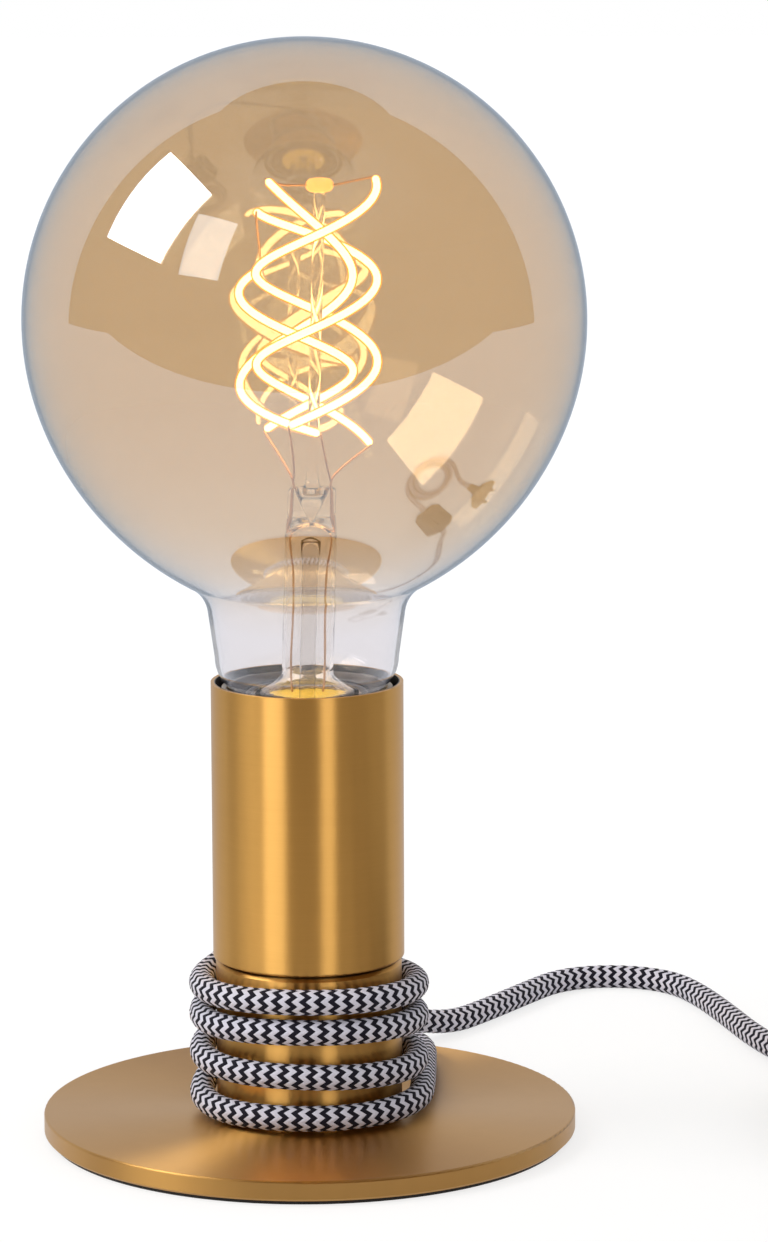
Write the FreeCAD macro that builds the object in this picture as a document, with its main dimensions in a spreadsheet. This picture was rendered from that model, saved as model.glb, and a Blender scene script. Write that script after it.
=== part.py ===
"""Bare bulb table lamp: a brass foot with a cord spool, a lampholder cup and a globe bulb.

Millimetres, +Z up, -Y towards the viewer. The origin lies under the middle of the foot,
on the table. Every size is a cell of the Sizes sheet, and every piece is tied to it.
"""
import FreeCAD, Part
import math
import os
import Sketcher

from FreeCAD import Rotation, Vector

doc = FreeCAD.newDocument("bare_bulb_table_lamp")

# ---------------------------------------------------------------- sizes

SIZES = [
    # running clearances
    ("fit", 0.1), ("free_gap", 0.3),
    # foot
    ("base_radius", 60.3), ("base_thickness", 4.5), ("base_edge", 0.5),
    ("pad_thickness", 1.0), ("pad_inset", 1.5),
    ("foot_screw_circle", 14.5), ("foot_screw_radius", 2.0), ("foot_screw_head", 3.8),
    ("foot_screw_reach", 5.5), ("foot_screw_turn", 30.0),
    # spool column
    ("column_radius", 21.0), ("column_wall", 1.5), ("column_length", 34.8),
    ("column_top", 3.0), ("column_edge", 0.7),
    ("ring_thickness", 4.0), ("ring_width", 9.0),
    ("outlet_rise", 4.8), ("outlet_angle", 114.5),
    ("bush_flange", 4.4), ("bush_flange_thickness", 0.8), ("bush_neck", 3.75),
    ("bush_inner_flange", 4.4), ("bush_sag", 0.6),
    # cup and its seat
    ("spacer_radius", 18.0), ("spacer_thickness", 0.7),
    ("cup_radius", 21.6), ("cup_wall", 1.0), ("cup_floor", 2.0), ("cup_length", 63.0),
    ("cup_edge", 0.6),
    # threaded tube M10x1 with what it carries
    ("nipple_radius", 5.0), ("nipple_bore", 3.5), ("nipple_below", 8.0), ("nipple_above", 7.0),
    ("nut_flats", 14.0), ("nut_thickness", 3.0), ("toothed_washer_radius", 7.5),
    ("toothed_washer_thickness", 0.8),
    ("grip_radius", 7.2), ("grip_length", 7.0), ("grip_overlap", 3.0), ("grip_edge", 1.0),
    ("grip_screw_radius", 1.5), ("grip_screw_proud", 1.5),
    # lampholder E27
    ("holder_radius", 19.2), ("holder_wall", 1.1), ("holder_rise", 61.7),
    ("skirt_length", 40.0), ("boss_radius", 8.0), ("boss_height", 6.0), ("boss_step", 0.4),
    ("boss_lip", 0.6),
    ("core_floor", 5.0), ("core_wall_inner", 14.2), ("core_below_rim", 3.5),
    ("shell_bore", 13.4), ("shell_wall", 0.35), ("shell_length", 23.0), ("shell_foot", 2.5),
    ("contact_width", 6.0), ("contact_leaf", 0.5), ("contact_arch", 6.2), ("contact_foot", 3.0),
    ("contact_short", 1.5),
    ("terminal_reach", 9.5), ("terminal_side", 5.0), ("terminal_height", 5.5),
    ("terminal_screw_radius", 1.6), ("clamp_radius", 0.96), ("clamp_rise", 3.6),
    ("clamp_proud", 1.2),
    # bulb: E27 cap and 125 mm globe
    ("seat_drop", 27.8), ("cap_radius", 13.2), ("cap_wall", 0.3), ("cap_shell_length", 22.0),
    ("cap_lip", 0.8), ("cap_shoulder", 2.5), ("tip_radius", 4.6), ("tip_height", 1.6),
    ("tip_flat", 2.76), ("tip_curve", 6.0), ("insulator_height", 4.5), ("insulator_radius", 10.2),
    ("insulator_rim", 1.0), ("insulator_seat", 0.6),
    ("globe_radius", 62.5), ("globe_rise", 110.1), ("glass_wall", 0.9),
    ("lower_globe_radius", 70.0), ("throat_radius", 22.0), ("throat_curve", 8.0),
    ("shoulder_curve", 9.0), ("shoulder_sink", 0.6), ("glass_mouth", 12.8), ("mouth_depth", 1.5),
    # glass mount inside the bulb
    ("stem_radius", 5.8), ("stem_wall", 0.8), ("stem_length", 46.0), ("stem_flare", 11.6),
    ("stem_gap", 0.5), ("stem_flare_wall", 1.5), ("stem_flare_rise", 7.0),
    ("pinch_height", 7.5), ("pinch_draw", 1.2), ("pinch_root", 1.0), ("exhaust_radius", 1.8),
    ("exhaust_wall", 0.5), ("exhaust_below", 12.0), ("exhaust_gap", 0.7), ("rod_radius", 1.6),
    ("rod_top", 140.1), ("button_radius", 2.9), ("button_height", 3.2),
    ("button_curve", 4.0), ("wire_radius", 0.25), ("wire_seat", 0.06),
    # soft filaments: four bent strips, their tops above the seat, turns in degrees from the right
    ("strip_radius", 1.15), ("wide_shift", 2.7), ("wide_reach", 13.4), ("narrow_shift", -1.9),
    ("narrow_reach", 12.6), ("narrow_depth", 9.5),
    ("strip_1_top", 141.5), ("strip_1_drop", 53.1), ("strip_1_start", 15.0),
    ("strip_1_turn", -490.0), ("strip_1_bow", 0.0),
    ("strip_2_top", 134.1), ("strip_2_drop", 52.5), ("strip_2_start", 171.0),
    ("strip_2_turn", -501.0), ("strip_2_bow", -0.25),
    ("strip_3_top", 142.1), ("strip_3_drop", 56.0), ("strip_3_start", 242.0),
    ("strip_3_turn", 413.0), ("strip_3_bow", 0.5),
    ("strip_4_top", 120.3), ("strip_4_drop", 35.7), ("strip_4_start", 135.0),
    ("strip_4_turn", 351.0), ("strip_4_bow", -0.2),
    # driver board inside the cap
    ("board_width", 17.0), ("board_height", 18.0), ("board_thickness", 1.2), ("board_back", 5.0),
    ("capacitor_radius", 2.5), ("capacitor_length", 7.0), ("capacitor_side", -3.5),
    ("capacitor_rise", 2.0), ("choke_width", 5.0), ("choke_depth", 2.2), ("choke_height", 6.0),
    ("choke_side", 3.5), ("choke_rise", 3.0), ("chip_width", 3.0), ("chip_depth", 1.4),
    ("chip_height", 4.0), ("chip_rise", 11.5),
    # cord and winding
    ("cord_diameter", 5.8), ("winding_radius", 24.3), ("winding_slack", 1.2),
    ("turn_1_front", 9.4), ("turn_1_left", 9.8),
    ("turn_2_front", 18.9), ("turn_2_left", 19.4),
    ("turn_3_front", 29.1), ("turn_3_left", 28.0),
    ("turn_4_front", 36.0), ("turn_4_left", 35.0),
    ("outlet_hump", 3.5), ("leave_climb", 2.4), ("leave_angle", 155.5),
    # put-away coil
    ("coil_mean_radius", 31.0), ("coil_pitch", 6.5), ("coil_turns", 3.5),
    ("coil_left", 118.0), ("coil_front", -66.0),
    # in-line rocker switch
    ("switch_across", 118.0), ("switch_middle", 1.5), ("switch_length", 60.0),
    ("switch_width", 25.0), ("switch_height", 15.0), ("switch_split", 7.0),
    ("switch_wall", 1.6), ("switch_end_width", 13.0), ("switch_cord_rise", 6.5),
    ("switch_taper", 9.0), ("switch_edge", 2.0), ("case_screw_back", 18.0),
    ("case_screw_side", 8.0), ("case_screw_radius", 1.45), ("case_screw_low", 0.4),
    ("case_screw_high", 9.5), ("case_post_radius", 3.0), ("case_post_low", 1.0),
    ("bearing_width", 1.6), ("bearing_length", 4.4), ("fixed_contact_width", 3.0),
    ("fixed_contact_length", 7.0), ("fixed_contact_height", 2.4), ("fixed_contact_back", 11.0),
    ("rocker_width", 10.5), ("rocker_length", 22.0), ("rocker_pivot_drop", 3.0),
    ("rocker_pin_radius", 1.2), ("rocker_proud", 2.2), ("rocker_dip", 1.0),
    # flat two-pin plug
    ("plug_across", 178.0), ("plug_face", 72.0), ("plug_length", 36.0), ("plug_width", 35.3),
    ("plug_height", 13.7), ("plug_tail_width", 14.0), ("plug_neck_draw", 4.0),
    ("plug_neck_length", 12.0), ("plug_shoulder", 20.0), ("plug_edge", 3.0),
    ("relief_length", 26.0),
    ("relief_large", 5.4), ("relief_small", 3.9), ("pin_radius", 2.0), ("pin_length", 19.0),
    ("pin_spacing", 18.6), ("pin_point_length", 1.5), ("pin_point_draw", 1.2),
    ("sleeve_length", 10.0), ("sleeve_radius", 1.75),
]

sheet = doc.addObject("Spreadsheet::Sheet", "Sizes")
for row, (name, number) in enumerate(SIZES, 1):
    sheet.set(f"A{row}", name)
    sheet.set(f"B{row}", str(number))
    sheet.setAlias(f"B{row}", name)
doc.recompute()


class Size:
    """A length that knows its number and the expression that ties it to the sheet."""

    def __init__(self, number, text):
        self.number = float(number)
        self.text = text

    def __add__(self, other):
        other = sized(other)
        return Size(self.number + other.number, f"({self.text} + {other.text})")

    def __sub__(self, other):
        other = sized(other)
        return Size(self.number - other.number, f"({self.text} - {other.text})")

    def __mul__(self, other):
        other = sized(other)
        return Size(self.number * other.number, f"({self.text} * {other.text})")

    def __truediv__(self, other):
        other = sized(other)
        return Size(self.number / other.number, f"({self.text} / {other.text})")

    def __radd__(self, other):
        return sized(other) + self

    def __rsub__(self, other):
        return sized(other) - self

    def __rmul__(self, other):
        return sized(other) * self

    def __neg__(self):
        return sized(0.0) - self

    def __float__(self):
        return self.number


def sized(value):
    """A plain number as a Size; a Size stays as it is."""
    return value if isinstance(value, Size) else Size(value, repr(float(value)))


def root(value):
    """Square root of a Size."""
    return Size(math.sqrt(value.number), f"sqrt({value.text})")


class Cells:
    """The sheet's cells by name."""

    def __getattr__(self, name):
        return Size(sheet.get(name), f"Sizes.{name}")


S = Cells()
pieces = []

# ---------------------------------------------------------------- ways of making a piece


def keep(obj, label):
    """Names a finished piece and lists it for export."""
    obj.Label = label
    pieces.append(obj)
    return obj


def bind(obj, **lengths):
    """Ties properties of a primitive to the sheet."""
    for name, length in lengths.items():
        length = sized(length)
        setattr(obj, name, length.number)
        obj.setExpression(name, length.text)
    return obj


def place(obj, across=0.0, back=0.0, up=0.0, axis=Vector(0, 0, 1), turn=0.0):
    """Puts an object at a tied place, turned about one axis by plain degrees."""
    spot = [sized(value) for value in (across, back, up)]
    numbers = [value.number for value in spot]
    obj.Placement = FreeCAD.Placement(Vector(*numbers), Rotation(axis, float(turn)))
    for name, value in zip("xyz", spot):
        obj.setExpression(f"Placement.Base.{name}", value.text)
    return obj


def tie(sketch, curve, end, across, up):
    """Ties one end of a sketch curve to its place."""
    for kind, axis, value in (("DistanceX", -2, across), ("DistanceY", -1, up)):
        if value.number == 0.0:
            sketch.addConstraint(Sketcher.Constraint("PointOnObject", curve, end, axis))
            continue
        index = sketch.addConstraint(
            Sketcher.Constraint(kind, -1, 1, curve, end, value.number))
        sketch.setExpression(f"Constraints[{index}]", value.text)


def arc_between(start, end, radius):
    """Circle arc from start to end; a positive radius has its centre left of the way."""
    middle = (start + end) * 0.5
    half = (end - start) * 0.5
    rise = math.sqrt(max(radius * radius - half.Length ** 2, 0.0))
    side = Vector(-half.y, half.x, 0).normalize() * math.copysign(rise, radius)
    centre = middle + side
    first, last = (start, end) if radius > 0 else (end, start)
    circle = Part.Circle(centre, Vector(0, 0, 1), abs(radius))
    angles = [math.atan2(p.y - centre.y, p.x - centre.x) for p in (first, last)]
    return Part.ArcOfCircle(circle, angles[0], angles[1])


def outline(body, plane, corners, name="outline"):
    """A closed sketch through corners (across, up), or (across, up, radius of the next side)."""
    origin = [part for part in body.Origin.OriginFeatures if part.Role == plane][0]
    sketch = body.newObject("Sketcher::SketchObject", f"{body.Name}_{name}")
    sketch.AttachmentSupport = [(origin, "")]
    sketch.MapMode = "FlatFace"
    spots = [(sized(corner[0]), sized(corner[1])) for corner in corners]
    ends = []
    for index, corner in enumerate(corners):
        here, there = spots[index], spots[(index + 1) % len(spots)]
        start = Vector(here[0].number, here[1].number, 0)
        end = Vector(there[0].number, there[1].number, 0)
        if len(corner) == 2:
            sketch.addGeometry(Part.LineSegment(start, end), False)
            ends.append((1, 2))
            continue
        radius = sized(corner[2])
        sketch.addGeometry(arc_between(start, end, radius.number), False)
        ends.append((1, 2) if radius.number > 0 else (2, 1))
        bound = radius if radius.number > 0 else -radius
        place_in_list = sketch.addConstraint(Sketcher.Constraint("Radius", index, bound.number))
        sketch.setExpression(f"Constraints[{place_in_list}]", bound.text)
    for index, (across, up) in enumerate(spots):
        before = index - 1 if index else len(spots) - 1
        sketch.addConstraint(
            Sketcher.Constraint("Coincident", before, ends[before][1], index, ends[index][0]))
        tie(sketch, index, ends[index][0], across, up)
    return sketch


def turned(name, corners):
    """A body turned about its own Z axis from a closed outline of (radius, height)."""
    body = doc.addObject("PartDesign::Body", name)
    turn = body.newObject("PartDesign::Revolution", f"{name}_turn")
    turn.Profile = outline(body, "XZ_Plane", corners)
    turn.ReferenceAxis = (turn.Profile[0], ["V_Axis"])
    turn.Angle = 360.0
    body.Tip = turn
    return body


def pressed(name, corners, depth):
    """A body of an outline (across, back) raised along its own Z axis by a tied depth."""
    body = doc.addObject("PartDesign::Body", name)
    pad = body.newObject("PartDesign::Pad", f"{name}_pad")
    pad.Profile = outline(body, "XY_Plane", corners)
    bind(pad, Length=depth)
    body.Tip = pad
    return body


def eased(body, radius, *heights, front=None):
    """Rounds the level outer edges of a raised outline at some heights by a tied radius."""
    doc.recompute()
    names = []
    for index, edge in enumerate(body.Shape.Edges, 1):
        bound = edge.BoundBox
        level = [height for height in heights
                 if max(abs(bound.ZMin - float(height)), abs(bound.ZMax - float(height))) < 0.01]
        if level and (front is None or bound.YMin < float(front) - 0.01):
            names.append(f"Edge{index}")
    blank = body.Tip
    feature = body.newObject("PartDesign::Fillet", f"{body.Name}_eased")
    feature.Base = (blank, names)
    bind(feature, Radius=radius)
    body.Tip = feature
    return body


DRILL_PAST = 1.0


def cylinder(radius, height, **where):
    """A plain cylinder for drilling or joining."""
    return place(bind(doc.addObject("Part::Cylinder", "cylinder"), Radius=radius, Height=height),
                 **where)


def box(width, depth, height, across, back, up):
    """A plain box, centred on (across, back) and standing on up."""
    block = bind(doc.addObject("Part::Box", "block"), Length=width, Width=depth, Height=height)
    return place(block, sized(across) - sized(width) / 2, sized(back) - sized(depth) / 2, up)


def joined(*solids):
    """Several solids fused into one."""
    fuse = doc.addObject("Part::MultiFuse", "join")
    fuse.Shapes = list(solids)
    return fuse


def grouped(*solids):
    """Several separate solids under one name."""
    group = doc.addObject("Part::Compound", "group")
    group.Links = list(solids)
    return group


def cut(base, *tools):
    """A solid less one or more tools."""
    result = doc.addObject("Part::Cut", "cut")
    result.Base = base
    result.Tool = tools[0] if len(tools) == 1 else joined(*tools)
    return result


def shaped(label, shape):
    """A piece whose shape is worked out from the sheet by the code beside it."""
    feature = doc.addObject("Part::Feature", label)
    feature.Shape = shape
    return keep(feature, label)


# ---------------------------------------------------------------- tubes and windings


def corner_arc(start, corner, end):
    """The arc that leaves start towards corner and arrives at end, as far from the corner."""
    middle = (start + end) * 0.5
    half = (end - start).Length / 2
    reach = (corner - middle).Length
    if reach < 1e-4:
        return Part.LineSegment(start, end)
    half_turn = math.atan2(reach, half)
    bulge = (corner - middle).normalize() * (half * math.tan(half_turn / 2))
    return Part.Arc(start, middle + bulge, end)


def bent_path(points, smallest_turn=0.004):
    """Straight runs joined by the largest tangent arcs that they allow, and the least radius."""
    share = 0.45
    curves = []
    radii = []
    here = points[0]
    for before, corner, after in zip(points, points[1:], points[2:]):
        come, leave = corner - before, after - corner
        turn = come.getAngle(leave)
        if turn < smallest_turn:
            raise ValueError("three points of a route are in line")
        setback = share * min(come.Length, leave.Length)
        radii.append(setback / math.tan(turn / 2))
        start = corner - Vector(come).normalize() * setback
        end = corner + Vector(leave).normalize() * setback
        curves += [Part.LineSegment(here, start), corner_arc(start, corner, end)]
        here = end
    curves.append(Part.LineSegment(here, points[-1]))
    return curves, radii


def sweep(curves, radius):
    """A round bar along a smooth chain of lines and arcs, and the chain's length."""
    path = Part.Wire([curve.toShape() for curve in curves])
    start = curves[0].value(curves[0].FirstParameter)
    heading = curves[0].tangent(curves[0].FirstParameter)[0]
    section = Part.Wire(Part.makeCircle(radius, start, heading))
    shell = Part.BRepOffsetAPI.MakePipeShell(path)
    shell.add(section)
    shell.build()
    shell.makeSolid()
    return shell.shape(), path.Length


def tube(label, points, radius):
    """A round tube along a route; its radii and volume are printed and compared."""
    curves, radii = bent_path(points)
    solid, length = sweep(curves, radius)
    expected = math.pi * radius ** 2 * length
    print(f"{label}: {length:.0f} mm long, radii {min(radii):.1f} to {max(radii):.0f} mm, "
          f"volume {solid.Volume / expected:.4f} of section times length")
    return shaped(label, solid)


def biarc(start, heading, end, arrival):
    """Two arcs from start to end that leave and arrive along the given unit headings."""
    way = end - start
    both = heading + arrival
    bend = 2 * (1 - heading.dot(arrival))
    along = way.dot(both)
    reach = (math.sqrt(along ** 2 + bend * way.dot(way)) - along) / bend
    first, second = start + heading * reach, end - arrival * reach
    joint = (first + second) * 0.5
    return [corner_arc(start, first, joint), corner_arc(joint, second, end)]


def wound(label, place_at, steps, radius):
    """A wound tube: biarcs through place_at(step) for a list of steps, straight at its ends."""
    small = 1e-3
    spots = [place_at(step) for step in steps]
    ways = [(place_at(step + small) - place_at(step - small)).normalize() for step in steps]
    curves = [Part.LineSegment(spots[0] - ways[0] * 2 * radius, spots[0])]
    for index in range(len(steps) - 1):
        curves += biarc(spots[index], ways[index], spots[index + 1], ways[index + 1])
    curves.append(Part.LineSegment(spots[-1], spots[-1] + ways[-1] * 2 * radius))
    solid, length = sweep(curves, radius)
    print(f"{label}: {length:.0f} mm of cord, least gap between turns "
          f"{least_gap(curves, radius):.2f} mm, "
          f"volume {solid.Volume / (math.pi * radius ** 2 * length):.4f} of section times length")
    shaped(label, solid)
    return curves, length


def least_gap(curves, radius, spacing=2.0):
    """Least distance between the surfaces of stretches that lie half a turn or more apart."""
    points = []
    for curve in curves:
        count = max(2, int(curve.length() / spacing))
        points += curve.discretize(count)[:-1]
    apart = int(12 * radius / spacing)
    return min((points[i] - points[j]).Length for i in range(len(points))
               for j in range(i + apart, len(points))) - 2 * radius


# ---------------------------------------------------------------- foot

pad_top = S.pad_thickness
base_top = pad_top + S.base_thickness
column_bottom = base_top
column_end = base_top + S.column_length
spacer_top = column_end + S.spacer_thickness
cup_inside = spacer_top + S.cup_floor
column_ceiling = column_end - S.column_top
column_bore = S.column_radius - S.column_wall

# Felt pad under the foot.
base_pad = keep(turned("base_pad", [
    (0, 0), (S.base_radius - S.pad_inset, 0),
    (S.base_radius - S.pad_inset, pad_top), (0, pad_top)]), "base_pad")

# Foot plate: a turned disc, its edges eased, drilled and countersunk for three screws.
plate = turned("base_plate_blank", [
    (0, pad_top), (S.base_radius - S.base_edge, pad_top),
    (S.base_radius, pad_top + S.base_edge), (S.base_radius, base_top - S.base_edge, S.base_edge),
    (S.base_radius - S.base_edge, base_top), (0, base_top)])

SCREW_COUNT = 3


def foot_screw_places():
    """Tied places of the foot screws on their circle about the lamp's axis."""
    for index in range(SCREW_COUNT):
        angle = math.radians(S.foot_screw_turn.number + 360.0 * index / SCREW_COUNT)
        yield S.foot_screw_circle * math.cos(angle), S.foot_screw_circle * math.sin(angle)


def foot_screw_sinks():
    """The countersunk holes for the three foot screws."""
    slope = S.foot_screw_head - S.foot_screw_radius
    for across, back in foot_screw_places():
        yield cylinder(S.foot_screw_radius + S.fit, S.base_thickness, across=across, back=back,
                       up=pad_top)
        cone = bind(doc.addObject("Part::Cone", "countersink"),
                    Radius1=S.foot_screw_head + S.fit, Radius2=S.foot_screw_radius + S.fit,
                    Height=slope)
        yield place(cone, across, back, pad_top)


keep(cut(plate, *foot_screw_sinks()), "base_plate")

# Three countersunk screws hold the foot to the ring inside the column.
slope = S.foot_screw_head - S.foot_screw_radius
screw_end = pad_top + S.base_thickness + S.foot_screw_reach
foot_screws = []
for across, back in foot_screw_places():
    screw = turned("foot_screw", [
        (0, pad_top), (S.foot_screw_head, pad_top), (S.foot_screw_radius, pad_top + slope),
        (S.foot_screw_radius, screw_end), (0, screw_end)])
    foot_screws.append(place(screw, across, back))
keep(grouped(*foot_screws), "foot_screws")

# ---------------------------------------------------------------- spool column

# Ring pressed into the bottom of the column; the foot screws thread into it.
ring = turned("ring_blank", [
    (column_bore - S.ring_width, column_bottom), (column_bore, column_bottom),
    (column_bore, column_bottom + S.ring_thickness),
    (column_bore - S.ring_width, column_bottom + S.ring_thickness)])
ring_holes = [cylinder(S.foot_screw_radius, S.ring_thickness, across=across, back=back,
                       up=column_bottom)
              for across, back in foot_screw_places()]

outlet_height = base_top + S.outlet_rise
outlet_way = Vector(math.cos(math.radians(S.outlet_angle.number)),
                    math.sin(math.radians(S.outlet_angle.number)), 0)


def radial(obj, radius, height, way=outlet_way):
    """Turns an object made along +Z to point outwards along way, its foot at a radius."""
    radius, height = sized(radius), sized(height)
    obj.Placement = FreeCAD.Placement(way * radius.number + Vector(0, 0, height.number),
                                      Rotation(Vector(0, 0, 1), way))
    obj.setExpression("Placement.Base.x", (radius * way.x).text)
    obj.setExpression("Placement.Base.y", (radius * way.y).text)
    obj.setExpression("Placement.Base.z", height.text)
    return obj


def radial_cylinder(radius, length, foot, height):
    """A cylinder that points outwards through the outlet."""
    bar = bind(doc.addObject("Part::Cylinder", "radial_bar"), Radius=radius, Height=length)
    return radial(bar, foot, height)


ring_notch = radial_cylinder(S.outlet_rise + S.fit, S.column_radius, 0, outlet_height)
keep(cut(ring, ring_notch, *ring_holes), "column_ring")

# Spool column: a deep-drawn cup, closed on top, with a bored hole for the cord's outlet.
column = turned("spool_column_blank", [
    (column_bore, column_bottom), (S.column_radius, column_bottom),
    (S.column_radius, column_end - S.column_edge), (S.column_radius - S.column_edge, column_end),
    (S.nipple_radius + S.fit, column_end), (S.nipple_radius + S.fit, column_ceiling),
    (column_bore, column_ceiling)])

keep(cut(column, radial_cylinder(S.bush_neck + S.fit / 2, 3 * S.column_wall,
                                 column_bore - S.column_wall, outlet_height)), "spool_column")

# Outlet bush: a grommet with a flange on each side of the column's wall.
bush_out = S.column_radius + S.bush_flange_thickness
bush_in = column_bore - S.bush_flange_thickness - S.bush_sag
outer_flange = cut(
    radial_cylinder(S.bush_flange, bush_out - column_bore, column_bore, outlet_height),
    cylinder(S.column_radius, S.column_length, up=column_bottom))
inner_flange = doc.addObject("Part::MultiCommon", "inner_flange")
inner_flange.Shapes = [
    radial_cylinder(S.bush_inner_flange, column_bore - bush_in, bush_in, outlet_height),
    cylinder(column_bore, S.column_length, up=column_bottom)]
bush_neck = radial_cylinder(S.bush_neck, bush_out - bush_in, bush_in, outlet_height)
bush_bore = radial_cylinder(S.cord_diameter / 2 + S.fit, bush_out - bush_in + 2 * DRILL_PAST,
                            bush_in - DRILL_PAST, outlet_height)
keep(cut(joined(outer_flange, bush_neck, inner_flange), bush_bore), "outlet_bush")

# ---------------------------------------------------------------- cup on its threaded tube

# Thin washer that leaves the shadow gap between the column and the cup.
keep(turned("gap_washer", [
    (S.nipple_radius + S.fit, column_end), (S.spacer_radius, column_end),
    (S.spacer_radius, spacer_top), (S.nipple_radius + S.fit, spacer_top)]), "gap_washer")

# Drawn brass cup that hides the lampholder.
cup_end = spacer_top + S.cup_length
keep(turned("holder_cup", [
    (S.nipple_radius + S.fit, spacer_top), (S.cup_radius - S.cup_edge, spacer_top, S.cup_edge),
    (S.cup_radius, spacer_top + S.cup_edge), (S.cup_radius, cup_end),
    (S.cup_radius - S.cup_wall, cup_end), (S.cup_radius - S.cup_wall, cup_inside),
    (S.nipple_radius + S.fit, cup_inside)]), "holder_cup")

# Threaded tube M10x1 from the column's ceiling up into the lampholder.
nipple_low = column_ceiling - S.nipple_below
nipple_high = cup_inside + S.nipple_above
keep(turned("threaded_tube", [
    (S.nipple_bore, nipple_low), (S.nipple_radius, nipple_low),
    (S.nipple_radius, nipple_high), (S.nipple_bore, nipple_high)]), "threaded_tube")

# Toothed washer and thin nut under the column's ceiling.
washer_low = column_ceiling - S.toothed_washer_thickness
keep(turned("toothed_washer", [
    (S.nipple_radius + S.fit, washer_low), (S.toothed_washer_radius, washer_low),
    (S.toothed_washer_radius, column_ceiling), (S.nipple_radius + S.fit, column_ceiling)]),
    "toothed_washer")
nut_low = washer_low - S.nut_thickness
hexagon = bind(doc.addObject("Part::Prism", "hexagon"),
               Circumradius=S.nut_flats / math.sqrt(3), Height=S.nut_thickness)
hexagon.Polygon = 6
place(hexagon, up=nut_low)
keep(cut(hexagon, cylinder(S.nipple_radius, S.nut_thickness, up=nut_low)), "column_nut")

# Cord grip: a moulded sleeve on the tube's lower end with a side screw that holds the cord.
cord_radius = S.cord_diameter / 2
grip_high = nipple_low + S.grip_overlap
grip_low = grip_high - S.grip_length
grip_blank = turned("grip_blank", [
    (cord_radius + S.fit, grip_low), (S.grip_radius - S.grip_edge, grip_low),
    (S.grip_radius, grip_low + S.grip_edge), (S.grip_radius, grip_high),
    (S.nipple_radius, grip_high),
    (S.nipple_radius, nipple_low), (cord_radius + S.fit, nipple_low)])
grip_screw_height = grip_low + (S.grip_length - S.grip_overlap) / 2


def side_cylinder(radius, start, end, height):
    """A cylinder along +X at a height."""
    return cylinder(radius, sized(end) - sized(start), across=start, up=height,
                    axis=Vector(0, 1, 0), turn=90.0)


keep(cut(grip_blank, side_cylinder(S.grip_screw_radius, 0, S.grip_radius + DRILL_PAST,
                                   grip_screw_height)), "cord_grip")
keep(cut(side_cylinder(S.grip_screw_radius, 0, S.grip_radius + S.grip_screw_proud,
                       grip_screw_height),
         cylinder(cord_radius + S.fit, S.column_length, up=grip_low)), "grip_screw")

# ---------------------------------------------------------------- lampholder

holder_rim = spacer_top + S.holder_rise
bulb_seat = holder_rim - S.seat_drop
skirt_low = holder_rim - S.skirt_length
skirt_bore = S.holder_radius - S.holder_wall

# Metal skirt: a plain tube with a turned-in rim.
keep(turned("holder_skirt", [
    (skirt_bore, skirt_low), (S.holder_radius, skirt_low), (S.holder_radius, holder_rim),
    (skirt_bore, holder_rim)]), "holder_skirt")

# Dome below it, with the threaded boss that stands on the cup's floor.
boss_end = cup_inside + S.boss_height
dome_rise = skirt_low - boss_end
shoulder = S.holder_radius - S.boss_radius
dome_curve = (shoulder * shoulder + dome_rise * dome_rise) / (shoulder * 2)
keep(turned("holder_dome", [
    (S.nipple_radius, cup_inside), (S.boss_radius, cup_inside),
    (S.boss_radius, boss_end, dome_curve), (S.holder_radius, skirt_low),
    (skirt_bore, skirt_low, -(dome_curve - S.holder_wall)),
    (S.boss_radius - S.holder_wall + S.boss_step, boss_end + S.boss_lip),
    (S.nipple_radius, boss_end + S.boss_lip)]), "holder_dome")

# Insulating core: floor and wall round the screw shell.
core_radius = skirt_bore - S.fit
core_end = holder_rim - S.core_below_rim
core_low = skirt_low
core_floor_top = core_low + S.core_floor
terminal_spots = ((-1, S.terminal_reach), (1, S.terminal_reach))
core_blank = turned("core_blank", [
    (0, core_low), (core_radius, core_low), (core_radius, core_end),
    (S.core_wall_inner, core_end), (S.core_wall_inner, core_floor_top), (0, core_floor_top)])
core_holes = [cylinder(S.terminal_screw_radius, S.core_floor, across=side * reach, up=core_low)
              for side, reach in terminal_spots]
keep(cut(core_blank, *core_holes), "holder_core")

# Brass screw shell, standing on the core's floor; its thread is left plain.
shell_radius = S.shell_bore + S.shell_wall
keep(turned("screw_shell", [
    (S.shell_bore - S.shell_foot, core_floor_top), (shell_radius, core_floor_top),
    (shell_radius, core_floor_top + S.shell_length),
    (S.shell_bore, core_floor_top + S.shell_length),
    (S.shell_bore, core_floor_top + S.shell_wall),
    (S.shell_bore - S.shell_foot, core_floor_top + S.shell_wall)]), "screw_shell")

# Centre contact: a bronze leaf, arched up to the bulb's tip.
leaf_end = bulb_seat - S.free_gap
leaf = S.contact_leaf
leaf_foot = S.contact_foot - S.contact_arch
leaf_tip = S.contact_arch - S.contact_short
contact = pressed("contact_blank", [
    (-S.contact_arch, core_floor_top), (leaf_foot, core_floor_top), (leaf_foot, leaf_end - leaf),
    (leaf_tip, leaf_end - leaf), (leaf_tip, leaf_end), (leaf_foot - leaf, leaf_end),
    (leaf_foot - leaf, core_floor_top + leaf), (-S.contact_arch, core_floor_top + leaf)],
    S.contact_width)
place(contact, back=S.contact_width / 2, axis=Vector(1, 0, 0), turn=90.0)
keep(contact, "centre_contact")

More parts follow.
